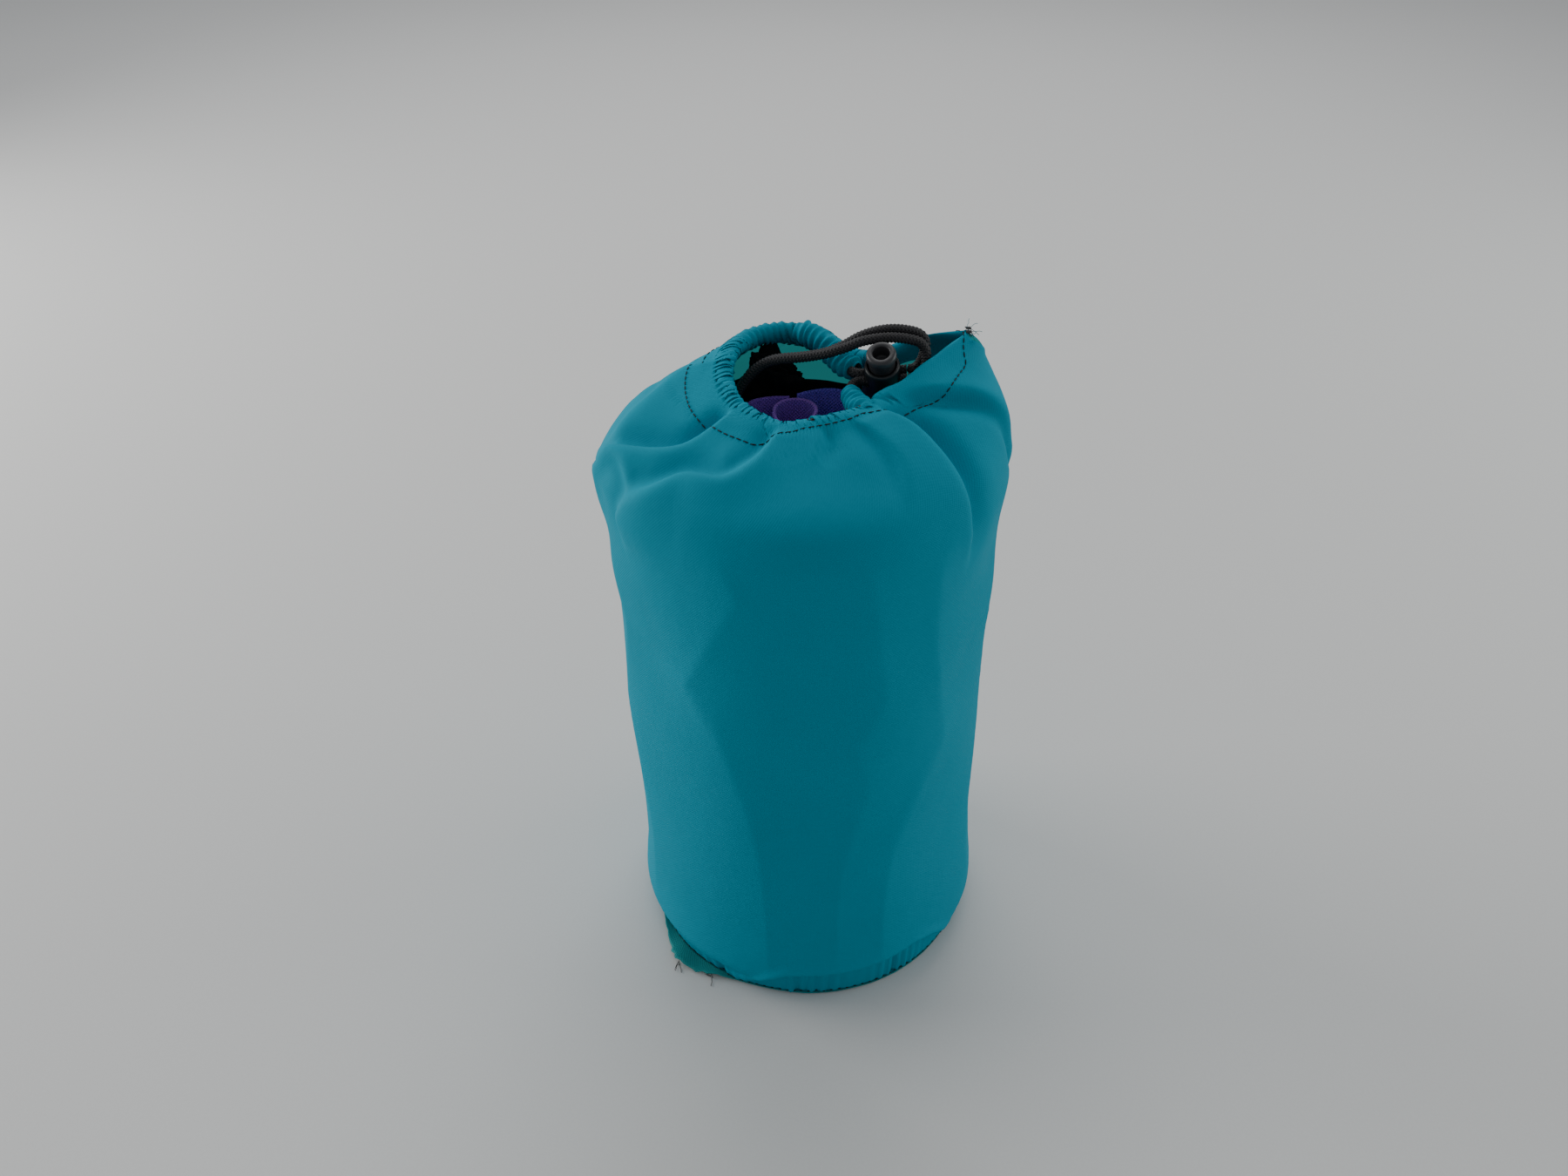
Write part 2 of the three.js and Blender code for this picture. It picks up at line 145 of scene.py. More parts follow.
def tube_mesh(name, line, radius, sides, rib=0.0, pitch=1.0):
    """A round rod along a line; rib and pitch raise rings on it. Its UV runs round it and along it."""
    side, up = frames_along(line)
    run = np.concatenate([[0], np.cumsum(np.linalg.norm(np.diff(line, axis=0), axis=1))])
    turn = np.linspace(0, 2 * np.pi, sides, endpoint=False)
    swell = np.asarray(radius, float) * np.ones(len(line)) + rib * np.sin(2 * np.pi * run / pitch)
    ring = side[:, None, :] * np.cos(turn)[None, :, None] + up[:, None, :] * np.sin(turn)[None, :, None]
    verts = (line[:, None, :] + ring * swell[:, None, None]).reshape(-1, 3) * MM
    faces = []
    for i in range(len(line) - 1):
        for j in range(sides):
            k = (j + 1) % sides
            faces.append((i * sides + j, i * sides + k, (i + 1) * sides + k, (i + 1) * sides + j))
    faces.append(tuple(reversed(range(sides))))
    last = (len(line) - 1) * sides
    faces.append(tuple(range(last, last + sides)))
    mesh = bpy.data.meshes.new(name)
    mesh.from_pydata([tuple(v) for v in verts], [], faces)
    uv = mesh.uv_layers.new(name="along")
    loop_uv = np.zeros((len(mesh.loops), 2))
    n = 0
    for f in mesh.polygons:
        corners = list(f.vertices)
        wrap = len(corners) == 4 and max(c % sides for c in corners) - min(c % sides for c in corners) > 1
        for c in corners:
            around = c % sides
            if wrap and around == 0:
                around = sides
            loop_uv[n] = (around / sides, run[c // sides])
            n += 1
    uv.data.foreach_set("uv", loop_uv.ravel())
    mesh.polygons.foreach_set("use_smooth", [True] * len(mesh.polygons))
    obj = bpy.data.objects.new(name, mesh)
    bpy.context.scene.collection.objects.link(obj)
    return obj


def calc(tree, what, *values):
    """A Math node whose inputs are sockets or plain numbers."""
    node = tree.nodes.new("ShaderNodeMath")
    node.operation = what
    for slot, value in zip(node.inputs, values):
        if isinstance(value, (int, float)):
            slot.default_value = value
        else:
            tree.links.new(value, slot)
    return node.outputs[0]


def cord_finish():
    """Charcoal braid: slanting strands from the cord's own UV, with painted shade darkening the grooves between
    them.
    """
    mat = bpy.data.materials.new("charcoal braid")
    mat.use_nodes = True
    tree = mat.node_tree
    shader = tree.nodes["Principled BSDF"]
    uv = tree.nodes.new("ShaderNodeUVMap")
    uv.uv_map = "along"
    split = tree.nodes.new("ShaderNodeSeparateXYZ")
    tree.links.new(uv.outputs[0], split.inputs[0])
    around = calc(tree, "MULTIPLY", split.outputs[0], 8 * 2 * math.pi)
    along = calc(tree, "MULTIPLY", split.outputs[1], 2 * math.pi / RIB_PITCH)
    one = calc(tree, "SINE", calc(tree, "ADD", around, along))
    other = calc(tree, "SINE", calc(tree, "SUBTRACT", around, along))
    braid = calc(tree, "MULTIPLY_ADD", calc(tree, "MAXIMUM", one, other), 0.5, 0.5)
    # painted shade: the low parts of the braid pattern are coloured near black, as shade in the grooves between
    # strands
    tones = tree.nodes.new("ShaderNodeValToRGB")
    tones.color_ramp.elements[0].position = 0.25
    tones.color_ramp.elements[0].color = (0.006, 0.0055, 0.0075, 1.0)
    tones.color_ramp.elements[1].color = CORD_COLOUR
    tree.links.new(braid, tones.inputs[0])
    tree.links.new(tones.outputs[0], shader.inputs["Base Color"])
    shader.inputs["Roughness"].default_value = 0.58
    shader.inputs["Specular IOR Level"].default_value = 0.4
    raised = tree.nodes.new("ShaderNodeBump")
    raised.inputs["Distance"].default_value = 0.0003
    raised.inputs["Strength"].default_value = 0.8
    tree.links.new(braid, raised.inputs["Height"])
    tree.links.new(raised.outputs[0], shader.inputs["Normal"])
    return mat


BRAID = cord_finish()
PAIR_TURNS_TO = (0.0, 0.92, -0.38)  # the pair turns over, so one end lies behind and above the other
TURN_BEGINS = 0.22
TURN_TAKES = 0.30
tail_centre = smooth_line([at_lock(TAIL_START, 0, 0), at_lock(LEG_STRAIGHT, 0, 0)] + TAIL_TURN, CORD_STEP)
tail_ahead = np.gradient(tail_centre, axis=0)
tail_ahead /= np.linalg.norm(tail_ahead, axis=1)[:, None]
turned_over = eased((np.linspace(0, 1, len(tail_centre)) - TURN_BEGINS) / TURN_TAKES)[:, None]
apart = np.array(LOCK_ACROSS) * (1 - turned_over) + np.array(PAIR_TURNS_TO) * turned_over
apart -= tail_ahead * (tail_ahead * apart).sum(1)[:, None]
apart /= np.linalg.norm(apart, axis=1)[:, None]
for name, node, side in (("cord_end_back", "cord_tail_back", 1), ("cord_end_front", "cord_tail_front", -1)):
    route = tail_centre + apart * side * LEG_OFFSET
    end = tube_mesh(name, route, CORD_RADIUS, CORD_SIDES, RIB_DEPTH, RIB_PITCH)
    end.data.materials.append(BRAID)
    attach(end, "sack")
    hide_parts(node)

# Both ends are tied in one overhand knot, a fat trefoil turn of the doubled cord that rests on the load.
KNOT_BELOW = (-0.6, 0.0, -5.1)
KNOT_SIZE = (0.95, 1.0, 1.43)
KNOT_CORD_RADIUS = 1.45  # the cord is pulled thin where it is tied
knot_turn = np.linspace(0, 2 * np.pi, 90, endpoint=False)
knot_line = np.stack([np.sin(knot_turn) + 2 * np.sin(2 * knot_turn),
                      np.cos(knot_turn) - 2 * np.cos(2 * knot_turn),
                      -np.sin(3 * knot_turn)], axis=1)
knot_line = knot_line * KNOT_SIZE + np.array(TAIL_TURN[-1]) + KNOT_BELOW
knot_line = np.vstack([knot_line, knot_line[:1]])
knot = tube_mesh("cord_knot_tied", knot_line, KNOT_CORD_RADIUS, 14, 0.08, RIB_PITCH)
knot.data.materials.append(BRAID)
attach(knot, "sack")
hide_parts("cord_knot")


# ============ The panel: wall, shoulder and casing in one piece of nylon ============
# A rectangle of coated plain-weave nylon, rolled to a tube and closed by one side seam at the right rear.
# Its lower edge is sewn to the round base. Its upper edge is turned down as a casing and gathered on the cord.
COLUMNS = 400
SEAM_DEGREES = 22.0
WALL_RADIUS = 73.0
LEAN = 4.0
SHOULDER_HEIGHT = 222.0
CLOTH_THICK = 0.35
GATHER_FLOOR = 160.0  # the cloth above this height is draped, and below it is stretched over the load
ROW_STEP = 1.6
WALL_FOOT = 1.6
WALL_ROWS = 25  # above the finely divided foot
DRAPED_ROWS = 94
WALL_SHAPE = [
    (WALL_FOOT, -3.4), (4.5, -2.9), (8.0, -2.0), (10.5, -0.4), (13.5, 0.5), (19.0, 0.6), (40.0, -0.4),
    (85.0, -2.0), (125.0, -2.0), (170.0, 0.0), (200.0, 1.9), (212.0, 2.6), (222.0, 2.2),
]
# The line of the rim's crest, from the top of the side seam round the back and left to the seam again:
# (share of the panel's width, x, y, z).
RIM_LINE = [
    (0.000, 53.0, 15.0, 262.5), (0.035, 38.0, 19.5, 259.0), (0.065, 27.0, 20.5, 254.5),
    (0.095, 17.0, 22.0, 252.0), (0.125, 10.0, 25.0, 254.5), (0.165, 4.0, 28.5, 258.0),
    (0.240, -4.0, 30.5, 260.3), (0.320, -13.5, 30.0, 261.4), (0.390, -22.5, 25.5, 261.0),
    (0.470, -28.5, 15.5, 258.2), (0.540, -30.5, 4.0, 255.0), (0.610, -28.0, -8.5, 252.4),
    (0.680, -21.5, -19.5, 251.0), (0.750, -11.5, -27.0, 249.8), (0.810, -2.0, -28.3, 252.4),
    (0.860, 7.5, -25.5, 253.0), (0.900, 15.8, -18.5, 252.4), (0.925, 20.0, -12.5, 252.6),
    (0.950, 29.0, -6.0, 255.2), (0.978, 42.3, 5.0, 259.6), (1.000, 53.0, 15.0, 262.5),
]


def wall_shape(height):
    """How far the wall's round form stands out of its radius, from the lowest named height to the shoulder."""
    return hermite(np.clip(height, WALL_SHAPE[0][0], WALL_SHAPE[-1][0]), *np.array(WALL_SHAPE).T)


def wall_point(degrees, height):
    """Where the filled sack's outer face is, at an angle round its axis and a height."""
    radius = WALL_RADIUS + wall_shape(height) + facets(degrees, height) + base_puckers(degrees, height)
    angle = np.radians(degrees)
    return np.stack([radius * np.cos(angle) - LEAN * eased(height / SHOULDER_HEIGHT),
                     radius * np.sin(angle), height + 0.0 * radius], axis=-1)


# Soft creases that run down the wall between flatter facets, where the cloth spans from lump to lump of the
# load: (height, degrees) down each line, then how far the facet to its left is drawn in.
CREASES = [
    ([(215, 30), (150, 42), (90, 33), (40, 40)], 1.5),
    ([(215, 75), (160, 68), (100, 80), (40, 74)], 1.7),
    ([(215, 118), (140, 108), (80, 120), (40, 115)], 1.5),
    ([(215, 158), (160, 150), (100, 163), (40, 152)], 1.7),
    ([(215, 195), (165, 203), (120, 192), (60, 205)], 1.9),
    ([(238, 241), (207, 253), (160, 233), (142, 243), (110, 250), (85, 254), (50, 256)], 1.7),
    ([(220, 286), (160, 293), (138, 284), (118, 289), (80, 280), (50, 278)], 0.7),
    ([(232, 317), (215, 306), (183, 308), (128, 317), (110, 307), (80, 297), (50, 294)], 2.0),
    ([(215, 350), (160, 344), (120, 354), (60, 340)], 1.7),
]
# Shallow hollows that cross the wall: (height, degrees, depth, half height, half width in degrees).
HOLLOWS = [
    (150, 330, 1.6, 22, 24), (190, 340, 1.2, 14, 22), (158, 215, 1.6, 26, 20), (95, 225, 1.0, 20, 22),
    (120, 272, 1.3, 60, 18), (70, 320, 1.2, 22, 20), (130, 60, 1.4, 30, 25), (180, 100, 1.2, 20, 28),
    (234, 190, -0.9, 9, 14), (203, 189, 2.2, 12, 20), (105, 184, -2.4, 42, 24), (205, 358, 2.8, 17, 22),
    (90, 140, 1.3, 26, 26), (60, 10, 1.2, 20, 24), (170, 172, 1.4, 18, 24), (35, 250, 0.8, 14, 30),
]


# Small upright puckers where the wall is eased on to the base, and one pleat: (degrees, depth, half width).
BASE_PLEATS = [
    (266, 0.9, 1.6), (263.5, -0.9, 1.4), (301, 0.8, 1.6), (238, 0.9, 1.5), (340, 0.8, 1.8), (120, 1.0, 2.0),
    (40, 1.0, 2.0),
]


# A fold of the wall hangs over the front of the base seam: (degrees, height of its lower edge).
BASE_FOLD = [
    (200, 2.0), (244, 2.4), (250, 5.5), (256, 12.6), (262, 17.0), (275, 18.2), (287, 19.0), (297, 20.2),
    (306, 21.0), (314, 18.0), (322, 12.0), (332, 5.0), (350, 2.0),
]
PUCKERS_ROUND = 97


def base_puckers(degrees, height):
    """How far the foot of the wall stands out: puckers, pleats, and the strip tucked under the front fold."""
    low = 1 - eased((height - 6.0) / 8.0)
    bearing = degrees % 360
    fold = np.interp(bearing, *zip(*BASE_FOLD))
    strength = eased((bearing - 236) / 12) * eased((338 - bearing) / 26)
    under = eased((fold + 0.5 - height) / 1.6) * strength
    angle = np.radians(degrees)
    wave = np.sin(angle * PUCKERS_ROUND + 2.4 * np.sin(angle * 7))
    out = (0.30 + 0.25 * under) * wave * (0.55 + 0.45 * np.sin(angle * 11))
    for where, deep, wide in BASE_PLEATS:
        off = (degrees - where + 180) % 360 - 180
        out = out - deep * np.exp(-(off / wide) ** 2)
    over = 1.3 * np.exp(-((height - fold - 1.4) / 2.6) ** 2) * strength
    tucked = -3.9 + 1.2 * height / fold - wall_shape(height)
    return out * np.maximum(low, under) + over + tucked * under


def facets(degrees, height):
    """How far the wall stands out of its round form, in millimetres."""
    out = np.zeros(np.broadcast(degrees, height).shape)
    at_height = [np.interp(height, *zip(*sorted(line))) for line, _ in CREASES]
    for k, (_, drawn) in enumerate(CREASES):
        begin, finish = at_height[k], at_height[(k + 1) % len(CREASES)]
        share_of = ((degrees - begin) % 360) / ((finish - begin) % 360)
        out = out - np.where(share_of < 1, drawn * (1 - (2 * share_of - 1) ** 2), 0)
    out = out * eased((height - 8) / 30) * eased((232 - height) / 26)
    for at, where, deep, tall, wide in HOLLOWS:
        off = (degrees - where + 180) % 360 - 180
        out = out - deep * np.exp(-((height - at) / tall) ** 2 - (off / wide) ** 2)
    return out


def rim_points():
    """The rim's crest and the direction out of the mouth, at every column."""
    share = np.linspace(0, 1, COLUMNS + 1)
    at, *places = np.array(RIM_LINE).T
    line = np.stack([hermite(share, at, p) for p in places], axis=1)
    ahead = np.gradient(line, axis=0)
    out = np.stack([-ahead[:, 1], ahead[:, 0], 0 * share], axis=1) * -1
    out /= np.linalg.norm(out, axis=1)[:, None]
    return share, line, out


def hermite(t, knots, values):
    """A smooth curve through the values at the knots, by a cubic between each two."""
    slopes = np.gradient(values, knots)
    i = np.clip(np.searchsorted(knots, t, side="right") - 1, 0, len(knots) - 2)
    h = knots[i + 1] - knots[i]
    s = (t - knots[i]) / h
    return ((1 + 2 * s) * (1 - s) ** 2 * values[i] + s * (1 - s) ** 2 * h * slopes[i]
            + s * s * (3 - 2 * s) * values[i + 1] + s * s * (s - 1) * h * slopes[i + 1])


def even_rows(path, step, count):
    """Each column of a dense path, sampled again every step along it."""
    gaps = np.linalg.norm(np.diff(path, axis=0), axis=2)
    run = np.concatenate([np.zeros((1, gaps.shape[1])), np.cumsum(gaps, axis=0)])
    rows = np.empty((count, path.shape[1], 3))
    want = np.arange(count) * step
    for j in range(path.shape[1]):
        scale = run[-1, j] / want[-1]
        for k in range(3):
            rows[:, j, k] = np.interp(want * scale, run[:, j], path[:, j, k])
    return rows


# The draped part's first shape: up the wall, over the shoulder, up to the rim and inside round the cord.
# Each column has its share of the width; the left corner and the seam's flank stand higher than the rest.
LEFT_CORNER = 0.466
FLANK = 0.95
share, rim, outward = rim_points()
column_degrees = SEAM_DEGREES + 360.0 * share
flank = eased((share - 0.895) / 0.045) + eased((0.055 - share) / 0.045)
shoulder_foot = 226.0 + 14.0 * flank + 11.0 * np.exp(-((share - LEFT_CORNER) / 0.03) ** 2)
UP = np.array([0.0, 0.0, 1.0])
slack = eased((share - 0.925) / 0.03) + eased((0.075 - share) / 0.04)  # 1 on the free flaps by the slit
gathered = 1 - np.clip(slack, 0, 1)
path = []
for t in np.linspace(0, 1, 40):
    path.append(wall_point(column_degrees, GATHER_FLOOR + (shoulder_foot - GATHER_FLOOR) * t))
corner = path[-1]
# the rear of the casing stands tallest, and at the front it tips inward
behind = eased((share - 0.10) / 0.06) * eased((0.50 - share) / 0.12)
ahead_part = eased((share - 0.60) / 0.10) * eased((0.93 - share) / 0.03)
calm = eased((share - 0.42) / 0.10) * eased((0.93 - share) / 0.03)  # smoother cloth at the left and front
roll_radius = 4.0 + 1.6 * behind - 1.2 * ahead_part
climb = np.radians(36.0 - 22.0 * ahead_part)  # how steeply the cloth comes up to the rim
roll_from = np.pi / 2 - climb
roll_to = np.radians(262.0 - 36.0 * ahead_part)
finish_at = rim + outward * (roll_radius * np.cos(roll_from) * gathered)[:, None]
finish_at = finish_at - UP * (roll_radius * (1 - np.sin(roll_from)) * gathered)[:, None]
reach = np.linalg.norm(finish_at - corner, axis=1)[:, None]
lift = UP * (0.22 + 0.16 * np.clip(flank, 0, 1))[:, None] * reach
arrive = 0.36 * reach * (UP * np.sin(climb)[:, None] - outward * np.cos(climb)[:, None])
for t in np.linspace(0, 1, 60)[1:]:
    rising = 3 * (corner + lift) * t * (1 - t) ** 2
    arriving = 3 * (finish_at - arrive) * t * t * (1 - t)
    path.append(corner * (1 - t) ** 3 + rising + arriving + finish_at * t ** 3)
reach_down = np.linalg.norm(corner - rim, axis=1)[:, None]
for t in np.linspace(0, 1, 25)[1:]:
    turn = roll_from + (roll_to - roll_from) * t
    roll = outward * (roll_radius * np.cos(turn))[:, None] + UP * (roll_radius * np.sin(turn))[:, None]
    centre = rim - UP * roll_radius[:, None]
    free = rim + (corner - rim) / reach_down * 9.0 * t - (outward + UP) * 0.7 * min(1.0, 3 * t)
    path.append((centre + roll) * gathered[:, None] + free * (1 - gathered)[:, None])
for t in np.linspace(0, 1, 9)[1:]:
    drop = UP * (7.0 * t * ahead_part + 0.4 * t)[:, None]
    inward = (corner - rim) / reach_down * (1 - gathered)[:, None] * 1.2
    path.append(path[-1] - drop * 0.25 + inward)
path_length = np.linalg.norm(np.diff(np.array(path), axis=0), axis=2).sum(0)
longest_row = 1.70 + 0.15 * np.exp(-((share - LEFT_CORNER) / 0.05) ** 2)
row_lengths = np.clip(path_length / (DRAPED_ROWS - 1), 1.4, longest_row)
for _ in range(30):
    row_lengths[1:-1] += 0.25 * (row_lengths[:-2] + row_lengths[2:] - 2 * row_lengths[1:-1])
row_lengths = row_lengths[None, :, None]
first = even_rows(np.array(path), ROW_STEP, DRAPED_ROWS)

# The cloth is then let settle: every thread keeps its length, so what the cord gathers has to fold.
SETTLE_ROUNDS = 600
THREAD_RULES = 0.9  # how much of a thread's error each round takes away
SLANT_RULES = 0.12
ROW_STIFFNESS = 0.12
SEWN_ROWS = 66
CASING_DEPTH = 15.5  # from the rim's crest down to the cloth's edge inside
rng = np.random.default_rng(11)
cloth = first.copy()
row_share = np.linspace(0, 1, DRAPED_ROWS)[:, None]
width_step = 2 * np.pi * (WALL_RADIUS + 2.3) / COLUMNS
# small uneven ruffles along the rim, and a few broad pleats further out, start the folding
ruffle_widths = rng.normal(1.0, 0.22, COLUMNS + 1).clip(0.4, 1.8)
ruffle_phase = 2 * np.pi * np.cumsum(ruffle_widths) / (10.5 + 5.5 * behind)
# broad folds, hollow below zero: (degrees at the shoulder, degrees near the rim, depth, half width in degrees)
BROAD_FOLDS = [
    (186, 219, -7.0, 8), (202, 232, 3.0, 8), (214, 238, -3.0, 6), (228, 250, 2.5, 8), (246, 262, -1.5, 9),
    (322, 327, -7.0, 6), (310, 318, 3.0, 7), (342, 350, -4.0, 7), (352, 2, 2.5, 7), (12, 12, 2.0, 6),
    (30, 32, -4.0, 8), (52, 48, 2.0, 9), (72, 64, -3.0, 8), (92, 86, 2.0, 9), (112, 108, -3.0, 8),
    (134, 130, 1.5, 9), (154, 152, -2.0, 9), (170, 190, 1.0, 9), (286, 286, -1.5, 12),
]
crest_row = 1 - CASING_DEPTH / (ROW_STEP * DRAPED_ROWS)
near_rim = eased((row_share - crest_row + 0.05) / 0.06)
shoulder = np.exp(-((row_share - 0.66) / 0.13) ** 2)
from_rim = (row_share * -1 + crest_row) * DRAPED_ROWS * ROW_STEP  # millimetres of cloth outside the crest
gather = gathered[None, :]
normal = np.cross(np.gradient(cloth, axis=1), np.gradient(cloth, axis=0))
normal /= np.linalg.norm(normal, axis=2)[:, :, None] + 1e-9
broad_wave = np.zeros(cloth.shape[:2])
bearing = np.degrees(np.arctan2(cloth[..., 1], cloth[..., 0] + LEAN))
for low, high, proud, wide in BROAD_FOLDS:
    toward = low + ((high - low + 180) % 360 - 180) * np.clip((row_share - 0.5) / 0.36, 0, 1)
    off = (bearing - toward + 180) % 360 - 180
    broad_wave += proud * shoulder * np.exp(-(off / wide) ** 2)
aim = first + normal * broad_wave[:, :, None]
cloth = aim + normal * (near_rim * (0.9 - 0.6 * calm) * np.sin(ruffle_phase)[None, :] * gather)[:, :, None]
wall_reach = np.hypot(first[..., 0] + LEAN, first[..., 1])
left_top = 7.0 * np.exp(-((share - LEFT_CORNER) / 0.035) ** 2)
flank_top = 8.0 * np.exp(-((share - FLANK) / 0.03) ** 2)
on_wall = first[..., 2] < 221.0 + left_top + flank_top
aim_pull = (0.004 + 0.02 * eased((from_rim - 14) / 14))[:, :, None]
hold = np.zeros((DRAPED_ROWS, COLUMNS + 1, 1))  # how firmly each point keeps its first place
hold[:4] = 1.0


def settle_pair(a, b, length, firm):
    """Pulls two sets of points to their distance, as threads of cloth."""
    gap = b - a
    now = np.linalg.norm(gap, axis=-1, keepdims=True) + 1e-9
    move = 0.5 * firm * (1 - length / now) * gap
    a += move
    b -= move


def settle_threads(firm):
    """Pulls every thread along and across the cloth to its length, in alternate pairs of points."""
    for k in (0, 1):
        m = (cloth.shape[1] - k) // 2 * 2
        settle_pair(cloth[:, k:k + m:2], cloth[:, k + 1:k + m:2], width_step, firm)
        m = (cloth.shape[0] - k) // 2 * 2
        settle_pair(cloth[k:k + m:2], cloth[k + 1:k + m:2], row_lengths, firm)


cord_line = rim - UP * roll_radius[:, None]
SHOULDER_CENTRE = (46.0, 196.0)  # (from the axis, height) of the point the shoulder curves round


def round_shoulder(profile):
    """A profile of (from the axis, height) points as angles and distances round the shoulder's centre."""
    across, up = (np.array(profile) - SHOULDER_CENTRE).T
    return np.arctan2(up, across), np.hypot(across, up)


# the load holds the cloth out to this
form_angle, form_reach = round_shoulder([
    (73.8, 196.0), (74.2, 212.0), (73.4, 222.0), (70.0, 230.0), (64.5, 236.0), (57.0, 240.5), (48.0, 243.4),
    (38.0, 245.6), (28.0, 247.4),
])
# the drawn-in cloth lies no further out than this, at the left and rear
limit_angle, limit_reach = round_shoulder([
    (73.8, 196.0), (74.6, 212.0), (74.8, 220.0), (70.8, 226.5), (65.4, 231.8), (55.4, 239.4), (46.6, 246.0),
    (38.0, 252.8), (30.0, 259.4),
])
hugging = (eased((share - 0.075) / 0.05) * eased((0.47 - share) / 0.05))[None, :]
sag = (7.0 * np.exp(-((share - 0.125) / 0.055) ** 2))[None, :]

fine_firm = (0.05 + 0.17 * eased(from_rim / 7) + 0.09 * calm[None, :])[:, :, None]
mid_firm = (0.09 * eased((from_rim + 4 * calm - 1) / 8))[:, :, None]
broad_firm = (0.035 * eased((from_rim - 6) / 12))[:, :, None]
slant = math.hypot(width_step, ROW_STEP)
for _ in range(SETTLE_ROUNDS):
    settle_threads(THREAD_RULES)
    for k in (0, 1):
        m = (cloth.shape[0] - k) // 2 * 2
        settle_pair(cloth[k:k + m:2, :-1], cloth[k + 1:k + m:2, 1:], slant, SLANT_RULES)
        settle_pair(cloth[k:k + m:2, 1:], cloth[k + 1:k + m:2, :-1], slant, SLANT_RULES)
    # stiffness against folding
    bend = np.zeros_like(cloth)
    bend[:, 1:-1] += fine_firm[:, 1:-1] * (cloth[:, :-2] + cloth[:, 2:] - 2 * cloth[:, 1:-1])
    bend[1:-1] += ROW_STIFFNESS * (cloth[:-2] + cloth[2:] - 2 * cloth[1:-1])
    bend[:, 3:-3] += mid_firm[:, 3:-3] * (cloth[:, :-6] + cloth[:, 6:] - 2 * cloth[:, 3:-3])
    bend[:, 7:-7] += broad_firm * (cloth[:, :-14] + cloth[:, 14:] - 2 * cloth[:, 7:-7])
    cloth += bend
    # the load inside holds the shoulder up
    x, y, z = cloth[..., 0] + LEAN, cloth[..., 1], cloth[..., 2]
    r = np.hypot(x, y)
    angle = np.arctan2(z - SHOULDER_CENTRE[1], r - SHOULDER_CENTRE[0])
    reach_now = np.hypot(z - SHOULDER_CENTRE[1], r - SHOULDER_CENTRE[0])
    need = np.interp(angle, form_angle, form_reach)
    short = np.where((angle > 0.6) & (angle < 1.9) & (r > 30), need - 6.0 - reach_now, 0).clip(0, 3)
    out = np.where(on_wall, wall_reach - 0.2 - r, 0).clip(0, 3)
    beyond = reach_now + sag * (angle > 0.9) - np.interp(angle, limit_angle, limit_reach)
    loose = np.where((angle > 0.2) & (r > 24), beyond, 0).clip(0, 4)
    short = short * (sag < 1) * (1 - hugging * 0.7) - 0.5 * hugging * eased((from_rim - 7) / 7) * loose
    cloth[..., 0] += out * x / r
    cloth[..., 1] += out * y / r
    cloth[..., 0] += short * np.cos(angle) * x / r
    cloth[..., 1] += short * np.cos(angle) * y / r
    cloth[..., 2] += short * np.sin(angle)
    # the casing keeps to the cord: no nearer than the cord and no further than the hem allows
    for row in range(int(crest_row * DRAPED_ROWS) - 8, DRAPED_ROWS):
        off = cloth[row] - cord_line
        far = np.linalg.norm(off, axis=1, keepdims=True)
        before = max(0.0, (crest_row * DRAPED_ROWS - row) * ROW_STEP)
        nearest = np.maximum(roll_radius - 1.6, 2.45)[:, None]
        furthest = (roll_radius * (1 + 0.9 * ahead_part) + 1.5)[:, None] + 1.2 * before
        keep = np.clip(far, nearest, furthest)
        cloth[row] += gathered[:, None] * 0.5 * (off * (keep / far) - off)
        cloth[row] += (1 - gathered[:, None]) * 0.25 * (first[row] - cloth[row])
    cloth += hold * (first - cloth)
    cloth += aim_pull * (aim - cloth)
    # the side seam
    seam = 0.5 * (cloth[:SEWN_ROWS, 0] + cloth[:SEWN_ROWS, -1])
    cloth[:SEWN_ROWS, 0] = seam
    cloth[:SEWN_ROWS, -1] = seam


# Creases pressed into the settled cloth: a line in plan from rim to wall, how far the cloth to its left and to
# its right is raised as it is walked outward, and how wide each side is.
PRESSED_FOLDS = [
    ([(-26, -17), (-33, -21), (-46, -26), (-60, -22), (-78, -12)], 2.6, -7.5, 8.0, 5.5),
    ([(-12, -30), (-22, -43), (-31, -47), (-43, -42), (-56, -43), (-72, -36)], 3.6, -3.6, 11.0, 6.0),
    ([(19, -20), (34, -26), (43, -34), (49, -43), (53, -53)], -8.0, 3.4, 7.0, 13.0),
    ([(22, -15), (36, -11), (50, -7), (64, -6), (76, -4)], 2.0, -5.0, 8.0, 5.0),
    ([(-31, 8), (-44, 16), (-58, 24), (-70, 28)], 1.4, -3.6, 9.0, 6.0),
    ([(-8, 33), (-14, 48), (-22, 62)], 1.6, -3.6, 9.0, 6.0),
    ([(8, 30), (20, 44), (30, 60)], 1.8, -4.0, 9.0, 6.0),
    ([(28, 24), (44, 34), (58, 44)], 1.4, -3.4, 8.0, 6.0),
    ([(1, -31), (2, -37), (0, -46)], -1.6, 0.9, 4.0, 5.0),
    ([(11, -28), (19, -35), (25, -44), (27, -56)], 1.0, -1.8, 7.0, 5.0),
    ([(-74, -22), (-68, -28), (-63, -38)], 1.2, -2.6, 6.0, 4.0),
]


